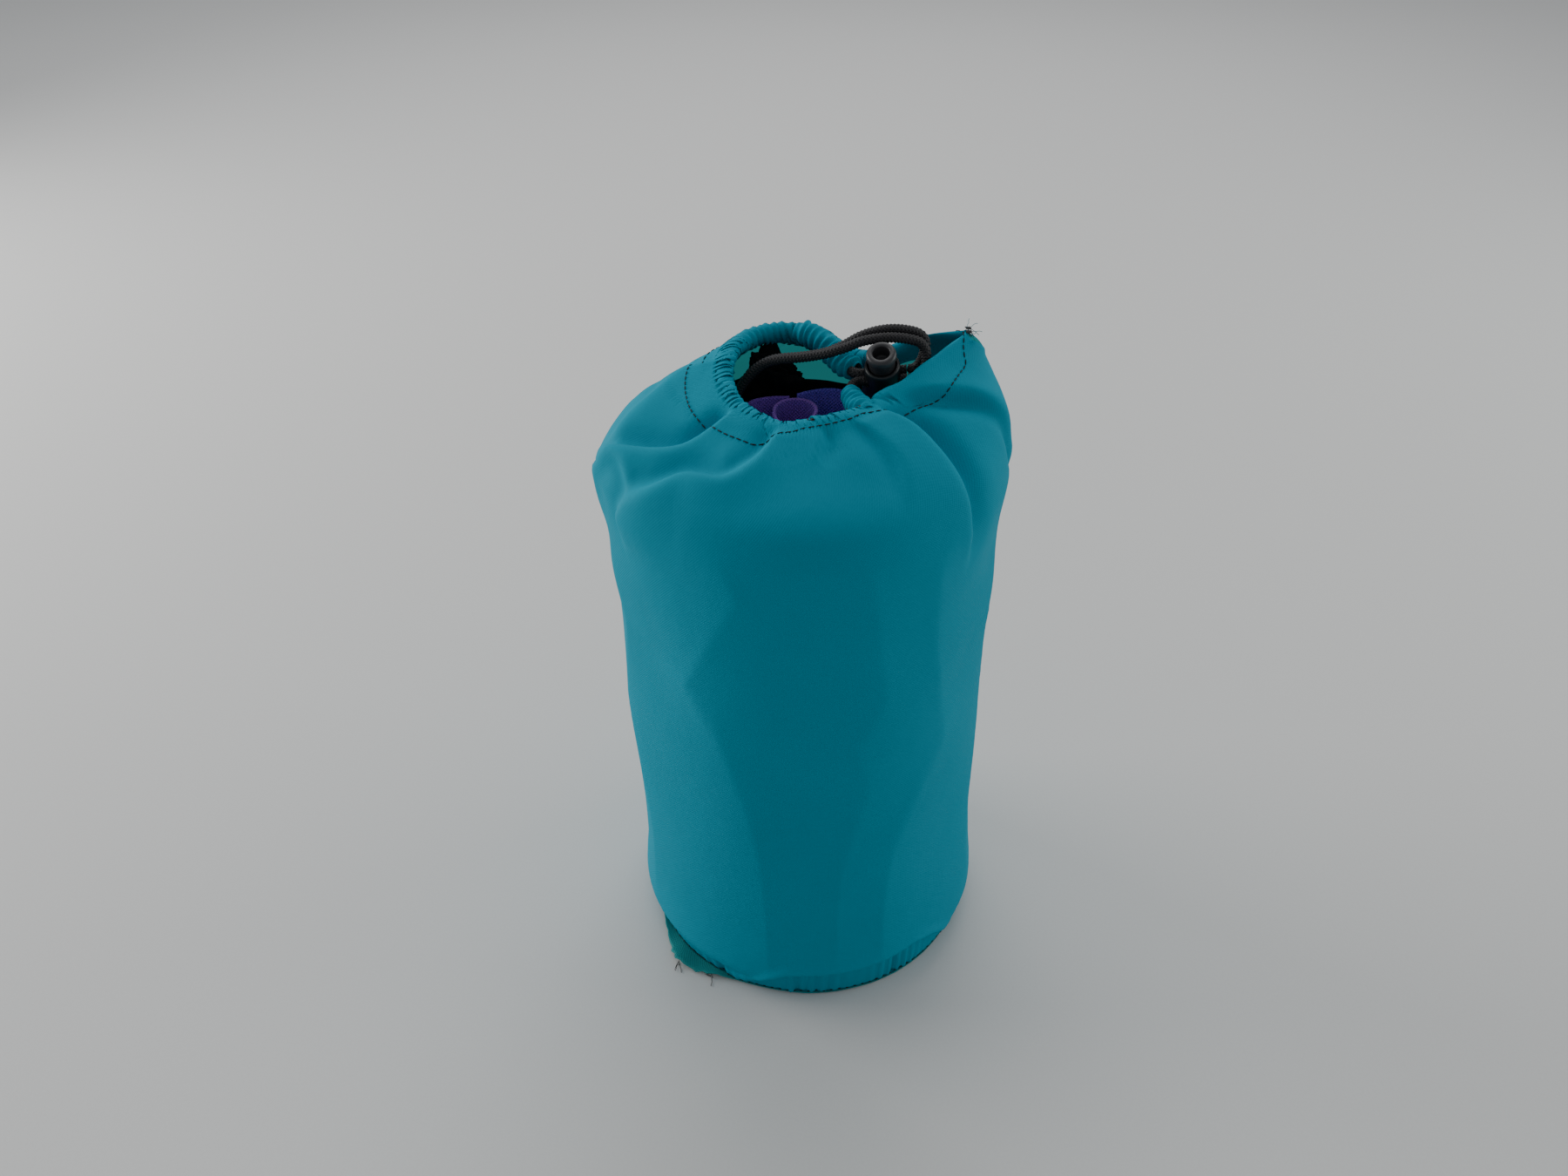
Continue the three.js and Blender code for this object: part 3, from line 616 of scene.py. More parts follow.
def press(surface, line, left, right, left_wide, right_wide):
    """Moves the cloth along its normal on both sides of a line in plan, with a sharp change at the line."""
    line = smooth_line([(x, y, 0.0) for x, y in line], 1.0)[:, :2]
    away = surface[..., None, :2] - line
    apart = np.hypot(away[..., 0], away[..., 1])
    nearest = apart.argmin(axis=-1)
    ahead = np.gradient(line, axis=0)
    ahead /= np.linalg.norm(ahead, axis=1)[:, None]
    d = np.take_along_axis(away, nearest[..., None, None], axis=2)[..., 0, :]
    t = ahead[nearest]
    side = t[..., 0] * d[..., 1] - t[..., 1] * d[..., 0]
    off = np.hypot(d[..., 0], d[..., 1])
    run = nearest / (len(line) - 1)
    fade = np.sin(np.pi * np.clip(0.08 + 0.9 * run, 0.0, 1.0)) ** 0.6
    past = np.abs((d * t).sum(-1))
    fade = fade * np.exp(-(past / 4.0) ** 2) * eased((surface[..., 2] - 204) / 18)
    blend = eased(0.5 + side / 2.4)
    lift = blend * left * np.exp(-(off / left_wide) ** 2)
    lift = lift + (1 - blend) * right * np.exp(-(off / right_wide) ** 2)
    turned = np.cross(np.gradient(surface, axis=1), np.gradient(surface, axis=0))
    turned /= np.linalg.norm(turned, axis=2)[:, :, None] + 1e-9
    return surface + turned * (lift * fade * eased((from_rim - 3) / 9))[:, :, None]


for fold in PRESSED_FOLDS:
    cloth = press(cloth, *fold)
EASING_ROUNDS = 10
for _ in range(EASING_ROUNDS):
    settle_threads(0.25)
    around = cloth[:-2, 1:-1] + cloth[2:, 1:-1] + cloth[1:-1, :-2] + cloth[1:-1, 2:]
    cloth[1:-1, 1:-1] += 0.05 * (around - 4 * cloth[1:-1, 1:-1])
    cloth += hold * (first - cloth)
    cloth[:SEWN_ROWS, 0] = cloth[:SEWN_ROWS, -1] = 0.5 * (cloth[:SEWN_ROWS, 0] + cloth[:SEWN_ROWS, -1])

# The wall below, then the whole panel as one mesh whose UV is the flat cloth in millimetres.
foot_heights = np.arange(WALL_FOOT, 24.0, 0.8)
wall_heights = np.concatenate([foot_heights, [25.5], np.linspace(28.0, GATHER_FLOOR, WALL_ROWS)])
wall = np.array([wall_point(column_degrees, np.full(COLUMNS + 1, h)) for h in wall_heights])
grid = np.concatenate([wall[:-1], cloth])


def sheet_mesh(name, points, across, up):
    """A mesh from rows of points, with the flat cloth's place of each column and row as its UV."""
    high, wide = points.shape[:2]
    corners = np.arange(high * wide).reshape(high, wide)
    quads = np.stack([corners[:-1, :-1], corners[:-1, 1:], corners[1:, 1:], corners[1:, :-1]], axis=-1)
    quads = quads.reshape(-1, 4)
    mesh = bpy.data.meshes.new(name)
    mesh.from_pydata((points.reshape(-1, 3) * MM).tolist(), [], quads.tolist())
    flat = np.stack(np.meshgrid(across, up), axis=-1).reshape(-1, 2)
    mesh.uv_layers.new(name="cloth").data.foreach_set("uv", flat[quads.reshape(-1)].ravel())
    mesh.polygons.foreach_set("use_smooth", [True] * len(mesh.polygons))
    obj = bpy.data.objects.new(name, mesh)
    bpy.context.scene.collection.objects.link(obj)
    return obj


up_cloth = np.concatenate([wall_heights[:-1], GATHER_FLOOR + ROW_STEP * np.arange(DRAPED_ROWS)])
panel = sheet_mesh("panel", grid, np.linspace(0, width_step * COLUMNS, COLUMNS + 1), up_cloth)


def effect_group(name, inputs, outputs):
    """An empty shader node group with named inputs and outputs."""
    group = bpy.data.node_groups.new(name, "ShaderNodeTree")
    for label, kind, value in inputs:
        group.interface.new_socket(label, in_out="INPUT", socket_type=kind).default_value = value
    for label, kind in outputs:
        group.interface.new_socket(label, in_out="OUTPUT", socket_type=kind)
    return group, group.nodes.new("NodeGroupInput"), group.nodes.new("NodeGroupOutput")


def plain_weave_group():
    """Over-and-under threads of a plain weave, from a place on the flat cloth in millimetres."""
    group, given, out = effect_group(
        "plain weave", [("Place", "NodeSocketVector", (0, 0, 0)), ("Thread Pitch", "NodeSocketFloat", 0.45)],
        [("Height", "NodeSocketFloat"), ("Gap", "NodeSocketFloat")])
    split = group.nodes.new("ShaderNodeSeparateXYZ")
    group.links.new(given.outputs["Place"], split.inputs[0])
    waves = []
    for axis in (0, 1):
        count = calc(group, "DIVIDE", split.outputs[axis], given.outputs["Thread Pitch"])
        waves.append(calc(group, "SINE", calc(group, "MULTIPLY", count, math.pi)))
    height = calc(group, "MULTIPLY", waves[0], waves[1])
    group.links.new(calc(group, "MULTIPLY_ADD", height, 0.5, 0.5), out.inputs["Height"])
    gap = calc(group, "MULTIPLY", calc(group, "ABSOLUTE", waves[0]), calc(group, "ABSOLUTE", waves[1]))
    group.links.new(calc(group, "SUBTRACT", 1.0, gap), out.inputs["Gap"])
    return group


def handling_group():
    """Faint crumples and dust that cloth picks up from being stuffed and carried."""
    group, given, out = effect_group(
        "handling", [("Place", "NodeSocketVector", (0, 0, 0)), ("Crumple Size", "NodeSocketFloat", 60.0)],
        [("Crumple", "NodeSocketFloat"), ("Dust", "NodeSocketFloat")])
    for label, scale, detail, rough in (("Crumple", 1.0, 3.0, 0.55), ("Dust", 0.35, 6.0, 0.65)):
        noise = group.nodes.new("ShaderNodeTexNoise")
        noise.inputs["Detail"].default_value = detail
        noise.inputs["Roughness"].default_value = rough
        group.links.new(given.outputs["Place"], noise.inputs["Vector"])
        group.links.new(calc(group, "MULTIPLY", given.outputs["Crumple Size"], scale), noise.inputs["Scale"])
        group.links.new(noise.outputs["Fac"], out.inputs[label])
    return group


WEAVE = plain_weave_group()
HANDLING = handling_group()


def cloth_finish(name, colour, shade, roughness, uv_name="cloth", pitch=0.5, bump=0.12, crumple=0.25,
                 crumple_size=70.0, sheen=0.0, specular=0.3):
    """A woven cloth: two close tones, a woven bump and faint crumples."""
    mat = bpy.data.materials.new(name)
    mat.use_nodes = True
    tree = mat.node_tree
    shader = tree.nodes["Principled BSDF"]
    place = tree.nodes.new("ShaderNodeTexCoord")
    if uv_name:
        uv = tree.nodes.new("ShaderNodeUVMap")
        uv.uv_map = uv_name
        flat = uv.outputs[0]
    else:
        stretch = tree.nodes.new("ShaderNodeMapping")
        stretch.inputs["Scale"].default_value = (1 / MM,) * 3
        tree.links.new(place.outputs["Object"], stretch.inputs[0])
        flat = stretch.outputs[0]
    weave = tree.nodes.new("ShaderNodeGroup")
    weave.node_tree = WEAVE
    weave.inputs["Thread Pitch"].default_value = pitch
    tree.links.new(flat, weave.inputs["Place"])
    worn = tree.nodes.new("ShaderNodeGroup")
    worn.node_tree = HANDLING
    worn.inputs["Crumple Size"].default_value = crumple_size
    tree.links.new(place.outputs["Object"], worn.inputs["Place"])
    mixed = tree.nodes.new("ShaderNodeMix")
    mixed.data_type = "RGBA"
    mixed.inputs[6].default_value = colour
    mixed.inputs[7].default_value = shade
    dust = calc(tree, "MULTIPLY", worn.outputs["Dust"], 0.55)
    amount = calc(tree, "MULTIPLY_ADD", weave.outputs["Gap"], 0.35, dust)
    tree.links.new(calc(tree, "MINIMUM", amount, 1.0), mixed.inputs[0])
    tree.links.new(mixed.outputs[2], shader.inputs["Base Color"])
    gloss = calc(tree, "MULTIPLY_ADD", worn.outputs["Crumple"], 0.16, roughness - 0.08)
    tree.links.new(gloss, shader.inputs["Roughness"])
    shader.inputs["Specular IOR Level"].default_value = specular
    if sheen:
        shader.inputs["Sheen Weight"].default_value = sheen
        shader.inputs["Sheen Roughness"].default_value = 0.45
        shader.inputs["Sheen Tint"].default_value = (0.35, 0.75, 0.85, 1.0)
    rumple = calc(tree, "MULTIPLY", worn.outputs["Crumple"], crumple)
    rise = calc(tree, "MULTIPLY_ADD", weave.outputs["Height"], bump, rumple)
    raised = tree.nodes.new("ShaderNodeBump")
    raised.inputs["Distance"].default_value = 0.001
    raised.inputs["Strength"].default_value = 0.6
    tree.links.new(rise, raised.inputs["Height"])
    tree.links.new(raised.outputs[0], shader.inputs["Normal"])
    return mat


def finish_modifiers(obj):
    """Applies every modifier on a piece, so that it is a plain mesh."""
    made = bpy.data.meshes.new_from_object(obj.evaluated_get(bpy.context.evaluated_depsgraph_get()))
    made.name = obj.name
    obj.modifiers.clear()
    obj.data = made
    return obj


def give_thickness(sheet, thickness, offset, inner_face=0):
    """Gives a sheet its thickness in millimetres; inner_face is how many slots on its inner material is."""
    solid = sheet.modifiers.new("thickness", "SOLIDIFY")
    solid.thickness = thickness * MM
    solid.offset = offset
    solid.material_offset = inner_face
    finish_modifiers(sheet)


NYLON_LIGHT = (0.0040, 0.310, 0.430, 1.0)
NYLON_DEEP = (0.0030, 0.240, 0.340, 1.0)
# colour of the inner face's glow, painted light standing in for daylight through the cloth
NYLON_PAINTED_GLOW = (0.006, 0.115, 0.115, 1.0)
nylon = cloth_finish("coated nylon", NYLON_LIGHT, NYLON_DEEP, 0.68, crumple=0.85, crumple_size=60.0,
                     specular=0.05)
nylon_inner_painted_glow = cloth_finish("coated nylon, inner face with painted glow", (0.003, 0.26, 0.27, 1.0), (0.002, 0.20, 0.21, 1.0), 0.5,
                          specular=0.2)
# painted light: the inner face glows by emission, standing in for daylight let through the thin cloth
nylon_inner_painted_glow.node_tree.nodes["Principled BSDF"].inputs["Emission Color"].default_value = NYLON_PAINTED_GLOW
nylon_inner_painted_glow.node_tree.nodes["Principled BSDF"].inputs["Emission Strength"].default_value = 1.0
panel.data.materials.append(nylon)
panel.data.materials.append(nylon_inner_painted_glow)
# the casing is doubled, so where its ruffles part the outer face shows on both sides
panel.data.materials.append(nylon)
panel.data.materials.append(nylon)
face_number = np.arange(len(panel.data.polygons))
in_casing = (face_number // COLUMNS > len(grid) - 17) & (gathered[face_number % COLUMNS] > 0.5)
panel.data.polygons.foreach_set("material_index", (2 * in_casing).astype(np.int32))
give_thickness(panel, CLOTH_THICK, -1.0, inner_face=1)
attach(panel, "sack")
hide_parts("body_panel", "casing_hem", "hem_edge_front", "hem_edge_back", "side_seam_allowance")


# ============ The stitching ============
# Black polyester thread in lock stitches about 2.7 mm long: the casing's row, the side seam and the base seam.
# Each stitch dips into the cloth at both ends, so only its raised middle shows.
STITCH_PITCH = 2.7
STITCH_LENGTH = 2.2
THREAD_RADIUS = 0.24


def thread_finish():
    """Spun black polyester, slightly uneven in tone."""
    mat = bpy.data.materials.new("black thread")
    mat.use_nodes = True
    tree = mat.node_tree
    shader = tree.nodes["Principled BSDF"]
    place = tree.nodes.new("ShaderNodeTexCoord")
    noise = tree.nodes.new("ShaderNodeTexNoise")
    noise.inputs["Scale"].default_value = 2400.0
    tree.links.new(place.outputs["Object"], noise.inputs["Vector"])
    tones = tree.nodes.new("ShaderNodeValToRGB")
    tones.color_ramp.elements[0].color = (0.004, 0.005, 0.006, 1.0)
    tones.color_ramp.elements[1].color = (0.02, 0.024, 0.028, 1.0)
    tree.links.new(noise.outputs["Fac"], tones.inputs[0])
    tree.links.new(tones.outputs[0], shader.inputs["Base Color"])
    shader.inputs["Roughness"].default_value = 0.7
    shader.inputs["Specular IOR Level"].default_value = 0.3
    return mat


THREAD = thread_finish()


def stitch_tree():
    """Geometry Nodes: a short rounded stitch at every pitch along a line, lying along it."""
    tree = bpy.data.node_groups.new("stitches", "GeometryNodeTree")
    face = tree.interface
    face.new_socket("Geometry", in_out="INPUT", socket_type="NodeSocketGeometry")
    for label, value in (("Stitch Pitch", STITCH_PITCH * MM), ("Stitch Length", STITCH_LENGTH * MM),
                         ("Thread Radius", THREAD_RADIUS * MM)):
        face.new_socket(label, in_out="INPUT", socket_type="NodeSocketFloat").default_value = value
    face.new_socket("Thread", in_out="INPUT", socket_type="NodeSocketMaterial")
    face.new_socket("Geometry", in_out="OUTPUT", socket_type="NodeSocketGeometry")
    given, out = tree.nodes.new("NodeGroupInput"), tree.nodes.new("NodeGroupOutput")
    line = tree.nodes.new("GeometryNodeMeshToCurve")
    even = tree.nodes.new("GeometryNodeResampleCurve")
    even.mode = "LENGTH"
    ahead = tree.nodes.new("GeometryNodeInputTangent")
    turn = tree.nodes.new("FunctionNodeAlignRotationToVector")
    turn.axis = "Z"
    ball = tree.nodes.new("GeometryNodeMeshUVSphere")
    ball.inputs["Segments"].default_value = 8
    ball.inputs["Rings"].default_value = 6
    ball.inputs["Radius"].default_value = 1.0
    size = tree.nodes.new("ShaderNodeCombineXYZ")
    half = tree.nodes.new("ShaderNodeMath")
    half.operation = "MULTIPLY"
    half.inputs[1].default_value = 0.5
    place = tree.nodes.new("GeometryNodeInstanceOnPoints")
    real = tree.nodes.new("GeometryNodeRealizeInstances")
    paint = tree.nodes.new("GeometryNodeSetMaterial")
    join = tree.links.new
    join(given.outputs["Geometry"], line.inputs["Mesh"])
    join(line.outputs[0], even.inputs["Curve"])
    join(given.outputs["Stitch Pitch"], even.inputs["Length"])
    join(ahead.outputs[0], turn.inputs["Vector"])
    join(even.outputs[0], place.inputs["Points"])
    join(ball.outputs["Mesh"], place.inputs["Instance"])
    join(turn.outputs[0], place.inputs["Rotation"])
    join(given.outputs["Stitch Length"], half.inputs[0])
    join(given.outputs["Thread Radius"], size.inputs[0])
    join(given.outputs["Thread Radius"], size.inputs[1])
    join(half.outputs[0], size.inputs[2])
    join(size.outputs[0], place.inputs["Scale"])
    join(place.outputs[0], real.inputs[0])
    join(real.outputs[0], paint.inputs["Geometry"])
    join(given.outputs["Thread"], paint.inputs["Material"])
    join(paint.outputs[0], out.inputs[0])
    return tree


STITCHES = stitch_tree()


def stitch_along(name, lines, pitch=STITCH_PITCH, length=STITCH_LENGTH, radius=THREAD_RADIUS):
    """Stitches along one or more lines of points in millimetres, as one plain mesh."""
    verts = [tuple(np.array(p) * MM) for line in lines for p in line]
    edges, n = [], 0
    for line in lines:
        edges += [(n + i, n + i + 1) for i in range(len(line) - 1)]
        n += len(line)
    mesh = bpy.data.meshes.new(name)
    mesh.from_pydata(verts, edges, [])
    obj = bpy.data.objects.new(name, mesh)
    bpy.context.scene.collection.objects.link(obj)
    sewn = obj.modifiers.new("stitches", "NODES")
    sewn.node_group = STITCHES
    values = {"Stitch Pitch": pitch * MM, "Stitch Length": length * MM, "Thread Radius": radius * MM,
              "Thread": THREAD}
    for item in STITCHES.interface.items_tree:
        if item.in_out == "INPUT" and item.name in values:
            sewn[item.identifier] = values[item.name]
    finish_modifiers(obj)
    obj.data.polygons.foreach_set("use_smooth", [True] * len(obj.data.polygons))
    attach(obj, "sack")
    return obj


def panel_normals():
    """The direction out of the cloth at each point of the grid."""
    turned = np.cross(np.gradient(grid, axis=1), np.gradient(grid, axis=0))
    return turned / (np.linalg.norm(turned, axis=2)[:, :, None] + 1e-9)


grid_normal = panel_normals()


def on_panel(column, row, lift=0.12):
    """A point just proud of the cloth, at a fractional column and row."""
    j, i = int(np.clip(column, 0, COLUMNS - 1)), int(np.clip(row, 0, len(grid) - 2))
    u, v = column - j, row - i
    spot = lambda g: (g[i, j] * (1 - u) * (1 - v) + g[i, j + 1] * u * (1 - v)
                      + g[i + 1, j] * (1 - u) * v + g[i + 1, j + 1] * u * v)
    return spot(grid) + spot(grid_normal) * lift


# How far the casing's row of stitches lies from the rim's crest on the flat cloth:
# (share of the width, millimetres).
CASING_ROW = [
    (0.000, 5.0), (0.020, 12.0), (0.060, 16.0), (0.120, 17.0), (0.300, 17.0), (0.450, 17.5), (0.560, 18.0),
    (0.620, 17.0), (0.690, 16.0), (0.740, 9.0), (0.780, 4.5), (0.870, 4.5), (0.905, 12.0), (0.940, 21.0),
    (0.975, 20.0), (0.995, 9.0), (1.000, 5.0),
]
crest_place = len(grid) - 1 - CASING_DEPTH / ROW_STEP
casing_row = [on_panel(s * COLUMNS, crest_place - np.interp(s, *zip(*CASING_ROW)) / ROW_STEP)
              for s in np.linspace(0.002, 0.998, 700)]
casing_stitches = stitch_along("casing_stitches", [casing_row])
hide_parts("casing_stitching")
side_row = [on_panel(4.0, i) for i in np.arange(4, len(grid) - 46, 0.5)]
side_stitches = stitch_along("side_seam_stitches", [side_row])
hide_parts("side_seam_stitching")
BASE_STITCH_ROW = 0.6
base_row = [on_panel(s * COLUMNS, BASE_STITCH_ROW, 0.15) for s in np.linspace(0, 0.999, 900)]
base_stitches = stitch_along("base_stitches", [base_row], pitch=3.4, length=1.3, radius=0.24)
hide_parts("base_stitching")

# A bar tack closes the top of the side seam, beside the frayed corner of the hem.
corner_at = grid[-16, 0]
TACK_ARC = ((-1.8, 0.5), (0.2, 0.9), (2.2, 0.4))
tack_lines = [[corner_at + np.array([0.5 + 0.28 * k, across, up]) for across, up in TACK_ARC]
              for k in range(-3, 4)]
tack = stitch_along("bar_tack", tack_lines, pitch=1.6, length=2.0, radius=0.2)
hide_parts("seam_bartack")


# ============ The base and its seam ============
# A disc of the same nylon, sewn to the wall with its raw edges turned out. The edges show as a limp flange at
# the front left, darker on its uncoated side, with a few pulled threads.
DISC_RADIUS = 69.2
DISC_RINGS = 14
DISC_SIDES = 144
HUB_RADIUS = 5.0


def weld(piece, gap=1e-6, holes=None, outward=True):
    """Joins the vertices that meet, fills the open rims that holes picks out, and turns the faces outward."""
    edit = bmesh.new()
    edit.from_mesh(piece.data)
    bmesh.ops.remove_doubles(edit, verts=edit.verts, dist=gap)
    if holes:
        rims = [edge for edge in edit.edges if edge.is_boundary and holes(edge)]
        bmesh.ops.holes_fill(edit, edges=rims, sides=0)
    if outward:
        bmesh.ops.recalc_face_normals(edit, faces=edit.faces)
    edit.to_mesh(piece.data)
    edit.free()


disc_angles = np.linspace(0, 2 * np.pi, DISC_SIDES + 1)
disc_rows = []
for ring in range(DISC_RINGS + 1):
    radius = DISC_RADIUS * (0.02 + 0.98 * ring / DISC_RINGS)
    ripple = 0.25 * eased((radius - 40) / 30) * (1 + np.sin(disc_angles * 9 + 1.3 * np.sin(disc_angles * 4)))
    across, along = radius * np.cos(disc_angles), radius * np.sin(disc_angles)
    disc_rows.append(np.stack([across, along, 0.35 + ripple], axis=1))
disc = sheet_mesh("base_disc_cloth", np.array(disc_rows)[::-1], disc_angles * DISC_RADIUS,
                  np.arange(DISC_RINGS + 1) * 5.0)
disc.data.materials.append(nylon)
weld(disc, holes=lambda edge: edge.verts[0].co.xy.length < HUB_RADIUS * MM)
give_thickness(disc, 0.3, 0.0)
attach(disc, "sack")
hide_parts("base_disc")

FLANGE_MIDDLE = 224.0
FLANGE_SPREAD = 14.0
flange_steps = 220
flange_angles = np.radians(np.linspace(0, 360, flange_steps + 1))
wide = np.exp(-((np.degrees(flange_angles) - FLANGE_MIDDLE) / FLANGE_SPREAD) ** 2)
ragged = np.random.default_rng(17).normal(size=flange_steps + 1)
wavy = np.sin(flange_angles * 13 + 2 * np.sin(flange_angles * 5))
flange_rows = []
for k in range(7):
    out = k / 6
    radius = 69.0 + out * (0.5 + 8.4 * wide + 0.3 * wavy * (0.2 + wide) + 0.5 * wide * ragged)
    height = 0.9 + out * (0.9 * wide * (1 + wavy) + 0.25 * (1 + wavy)) + 1.6 * out * out * wide * np.exp(
        -((np.degrees(flange_angles) - 238) / 6) ** 2) * 2.0
    across, along = radius * np.cos(flange_angles), radius * np.sin(flange_angles)
    flange_rows.append(np.stack([across, along, height], axis=1))
flange = sheet_mesh("base_seam_flange", np.array(flange_rows), flange_angles * 70.0, np.arange(7) * 1.2)
weld(flange, outward=False)
flange.data.materials.append(cloth_finish("uncoated nylon", (0.003, 0.30, 0.30, 1), (0.002, 0.20, 0.21, 1),
                                          0.7, bump=0.2, pitch=0.55))
give_thickness(flange, 0.4, 0.0)
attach(flange, "sack")
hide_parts("base_seam_allowance")


def loose_threads(name, start, ahead, count, length, radius, seed, colour, low=None):
    """A tuft of pulled fibres that leave a point in about one direction and curl."""
    dice = np.random.default_rng(seed)
    pieces = []
    for n in range(count):
        d = np.array(ahead, float) + dice.normal(0, 0.35, 3)
        d /= np.linalg.norm(d)
        p = np.array(start, float) + dice.normal(0, 0.5, 3)
        run = length * dice.uniform(0.4, 1.0)
        pts = [p.copy()]
        for _ in range(7):
            d = d + dice.normal(0, 0.28, 3)
            d /= np.linalg.norm(d)
            p = p + d * run / 7
            if low is not None:
                p[2] = max(p[2], low)
            pts.append(p.copy())
        pieces.append(tube_mesh(f"{name}_{n}", smooth_line(pts, 0.5), radius, 5))
    with bpy.context.temp_override(active_object=pieces[0], selected_editable_objects=pieces):
        bpy.ops.object.join()
    tuft = pieces[0]
    tuft.name = name
    tuft.data.materials.clear()
    tuft.data.materials.append(colour)
    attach(tuft, "sack")
    return tuft


fibre = cloth_finish("nylon fibre", (0.02, 0.25, 0.30, 1), (0.01, 0.16, 0.2, 1), 0.6, uv_name=None, bump=0.0,
                     crumple=0.0)
loose_threads("frayed_corner", corner_at + np.array([0.3, 0, 0.2]), (1.0, 0.15, -0.15), 9, 7.5, 0.09, 5, fibre)
loose_threads("frayed_corner_dark", corner_at + np.array([0.2, 0, 0.0]), (0.9, 0.0, -0.5),
              3, 5.0, 0.13, 9, THREAD)
loose_threads("base_threads", (-56.0, -54.0, 1.2), (-0.5, -0.8, 0.1), 4, 7.0, 0.13, 3, THREAD, low=0.3)
loose_threads("base_thread_curls", (-44.0, -59.0, 0.8), (0.3, -0.9, 0.1), 3, 11.0, 0.13, 12, THREAD, low=0.3)


# ============ The casing's gathered end and the drawcord inside ============
# Where the casing ends at the seam slit, its gathered mouth follows the cord back down to the lock.
# The drawcord itself is hidden in the casing and shows only between the casing and the lock.
CASING_END_FRONT = [(17.5, -21.5, 249.8), (14.2, -15.0, 248.6), (12.2, -8.5, 248.0), (12.2, -4.6, 248.4)]
CASING_END_BACK = [(-7.0, 28.6, 256.0), (-1.5, 26.5, 255.6), (3.5, 22.5, 253.8), (7.5, 17.5, 251.6),
                   (11.0, 12.6, 250.2), (15.0, 8.8, 250.0)]
END_SIDES = 30


def gathered_sleeve(name, points, radius, seed):
    """A limp sleeve of cloth bunched on a cord, in folds that run along it and rings that cross it."""
    line = smooth_line(points, 0.33)
    side, up = frames_along(line)
    dice = np.random.default_rng(seed)
    run = np.arange(len(line)) * 0.33
    turn = np.linspace(0, 2 * np.pi, END_SIDES + 1)[None, :]
    ring_phase = 2 * np.pi * np.cumsum(dice.normal(1.0, 0.2, len(line)).clip(0.5, 1.6)) * 0.33 / 2.9
    lean = 0.9 * np.sin(turn + 0.25 * run[:, None]) + 0.5 * np.sin(2 * turn + 1.0 + 0.4 * run[:, None])
    wave = np.sin(ring_phase[:, None] + lean)
    depth = 0.62 * (0.7 + 0.3 * np.sin(3 * turn + 0.7 * run[:, None]))
    swell = radius + depth * wave + 0.3 * np.sin(2 * turn + 0.3 * run[:, None])
    taper = 0.62 + 0.38 * eased(run / 4.0)
    swell = swell * taper[:, None] * (0.72 + 0.28 * eased((run[-1] - run) / 2.2))[:, None]
    ring = side[:, None, :] * np.cos(turn)[..., None] + up[:, None, :] * np.sin(turn)[..., None]
    sleeve = sheet_mesh(name, line[:, None, :] + ring * swell[..., None], turn[0] * radius * 2.2, run * 2.2)
    weld(sleeve)
    return sleeve


for name, points, radius, seed in (("casing_end_back", CASING_END_BACK, 4.3, 21),
                                   ("casing_end_front", CASING_END_FRONT, 3.5, 22)):
    casing_end = gathered_sleeve(name, points, radius, seed)
    casing_end.data.materials.append(nylon)
    give_thickness(casing_end, CLOTH_THICK, -1.0)
    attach(casing_end, "sack")


drawcord_route = [at_lock(8.4, LEG_OFFSET, 0), at_lock(0, LEG_OFFSET, 0), at_lock(-9.2, LEG_OFFSET, 0),
                  (12.2, 8.6, 250.4), (10.5, 13.5, 250.7), (8.0, 17.5, 251.8), (3.0, 22.5, 253.8)]
casing_run = [cord_line[int(s * COLUMNS)] for s in np.linspace(0.17, 0.895, 24)]
front_run = [(12.2, -16.0, 246.6), (11.4, -8.5, 247.4), (12.0, -2.6, 248.4),
             at_lock(-9.2, -LEG_OFFSET, 0), at_lock(0, -LEG_OFFSET, 0), at_lock(8.4, -LEG_OFFSET, 0)]
drawcord_line = smooth_line(drawcord_route + casing_run + front_run, CORD_STEP)
# the tight casing squeezes the cord thinner
run = np.arange(len(drawcord_line)) * CORD_STEP
squeezed = eased((run - 43) / 6) * eased((run[-1] - run - 40) / 6)
drawcord = tube_mesh("drawcord_in_casing", drawcord_line, CORD_RADIUS - 0.75 * squeezed, CORD_SIDES,
                     RIB_DEPTH, RIB_PITCH)
drawcord.data.materials.append(BRAID)
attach(drawcord, "sack")
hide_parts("drawcord")


# ============ The cord lock ============
# A moulded two-part lock on the drawcord: a hollow acetal barrel, and a spring-loaded plunger with a round
# recess in its top. A flat slot runs through both for the two legs of the cord, and the spring pinches them.
BARREL_PROFILE = [
    (0.0, -11.0), (6.2, -11.0), (7.2, -10.8), (7.75, -10.2), (8.0, -9.2), (8.0, -8.2), (7.75, -6.8), (7.2, -4.5),
    (6.75, -2.0), (6.5, 0.0), (6.4, 3.0), (6.3, 4.9), (6.15, 5.6), (5.8, 6.0), (5.25, 6.0), (5.0, 5.75),
    (4.95, 5.3), (4.95, -9.5), (0.0, -9.5),
]
BUTTON_PROFILE = [
    (0.0, -3.8), (4.3, -3.8), (4.6, -3.5), (4.6, 8.6), (4.8, 9.0), (5.1, 9.5), (5.25, 10.4), (5.2, 11.4),
    (5.0, 12.0), (4.6, 12.4), (4.2, 12.5), (3.5, 12.5), (3.2, 12.4), (3.0, 12.15), (2.9, 11.6), (2.8, 7.9),
    (2.4, 7.5), (0.0, 7.4),
]
SLOT_HALF_WIDTH = 4.1
SLOT_HALF_HEIGHT = 2.1
PRESS_TRAVEL = 3.0
LOCK_SIDES = 72


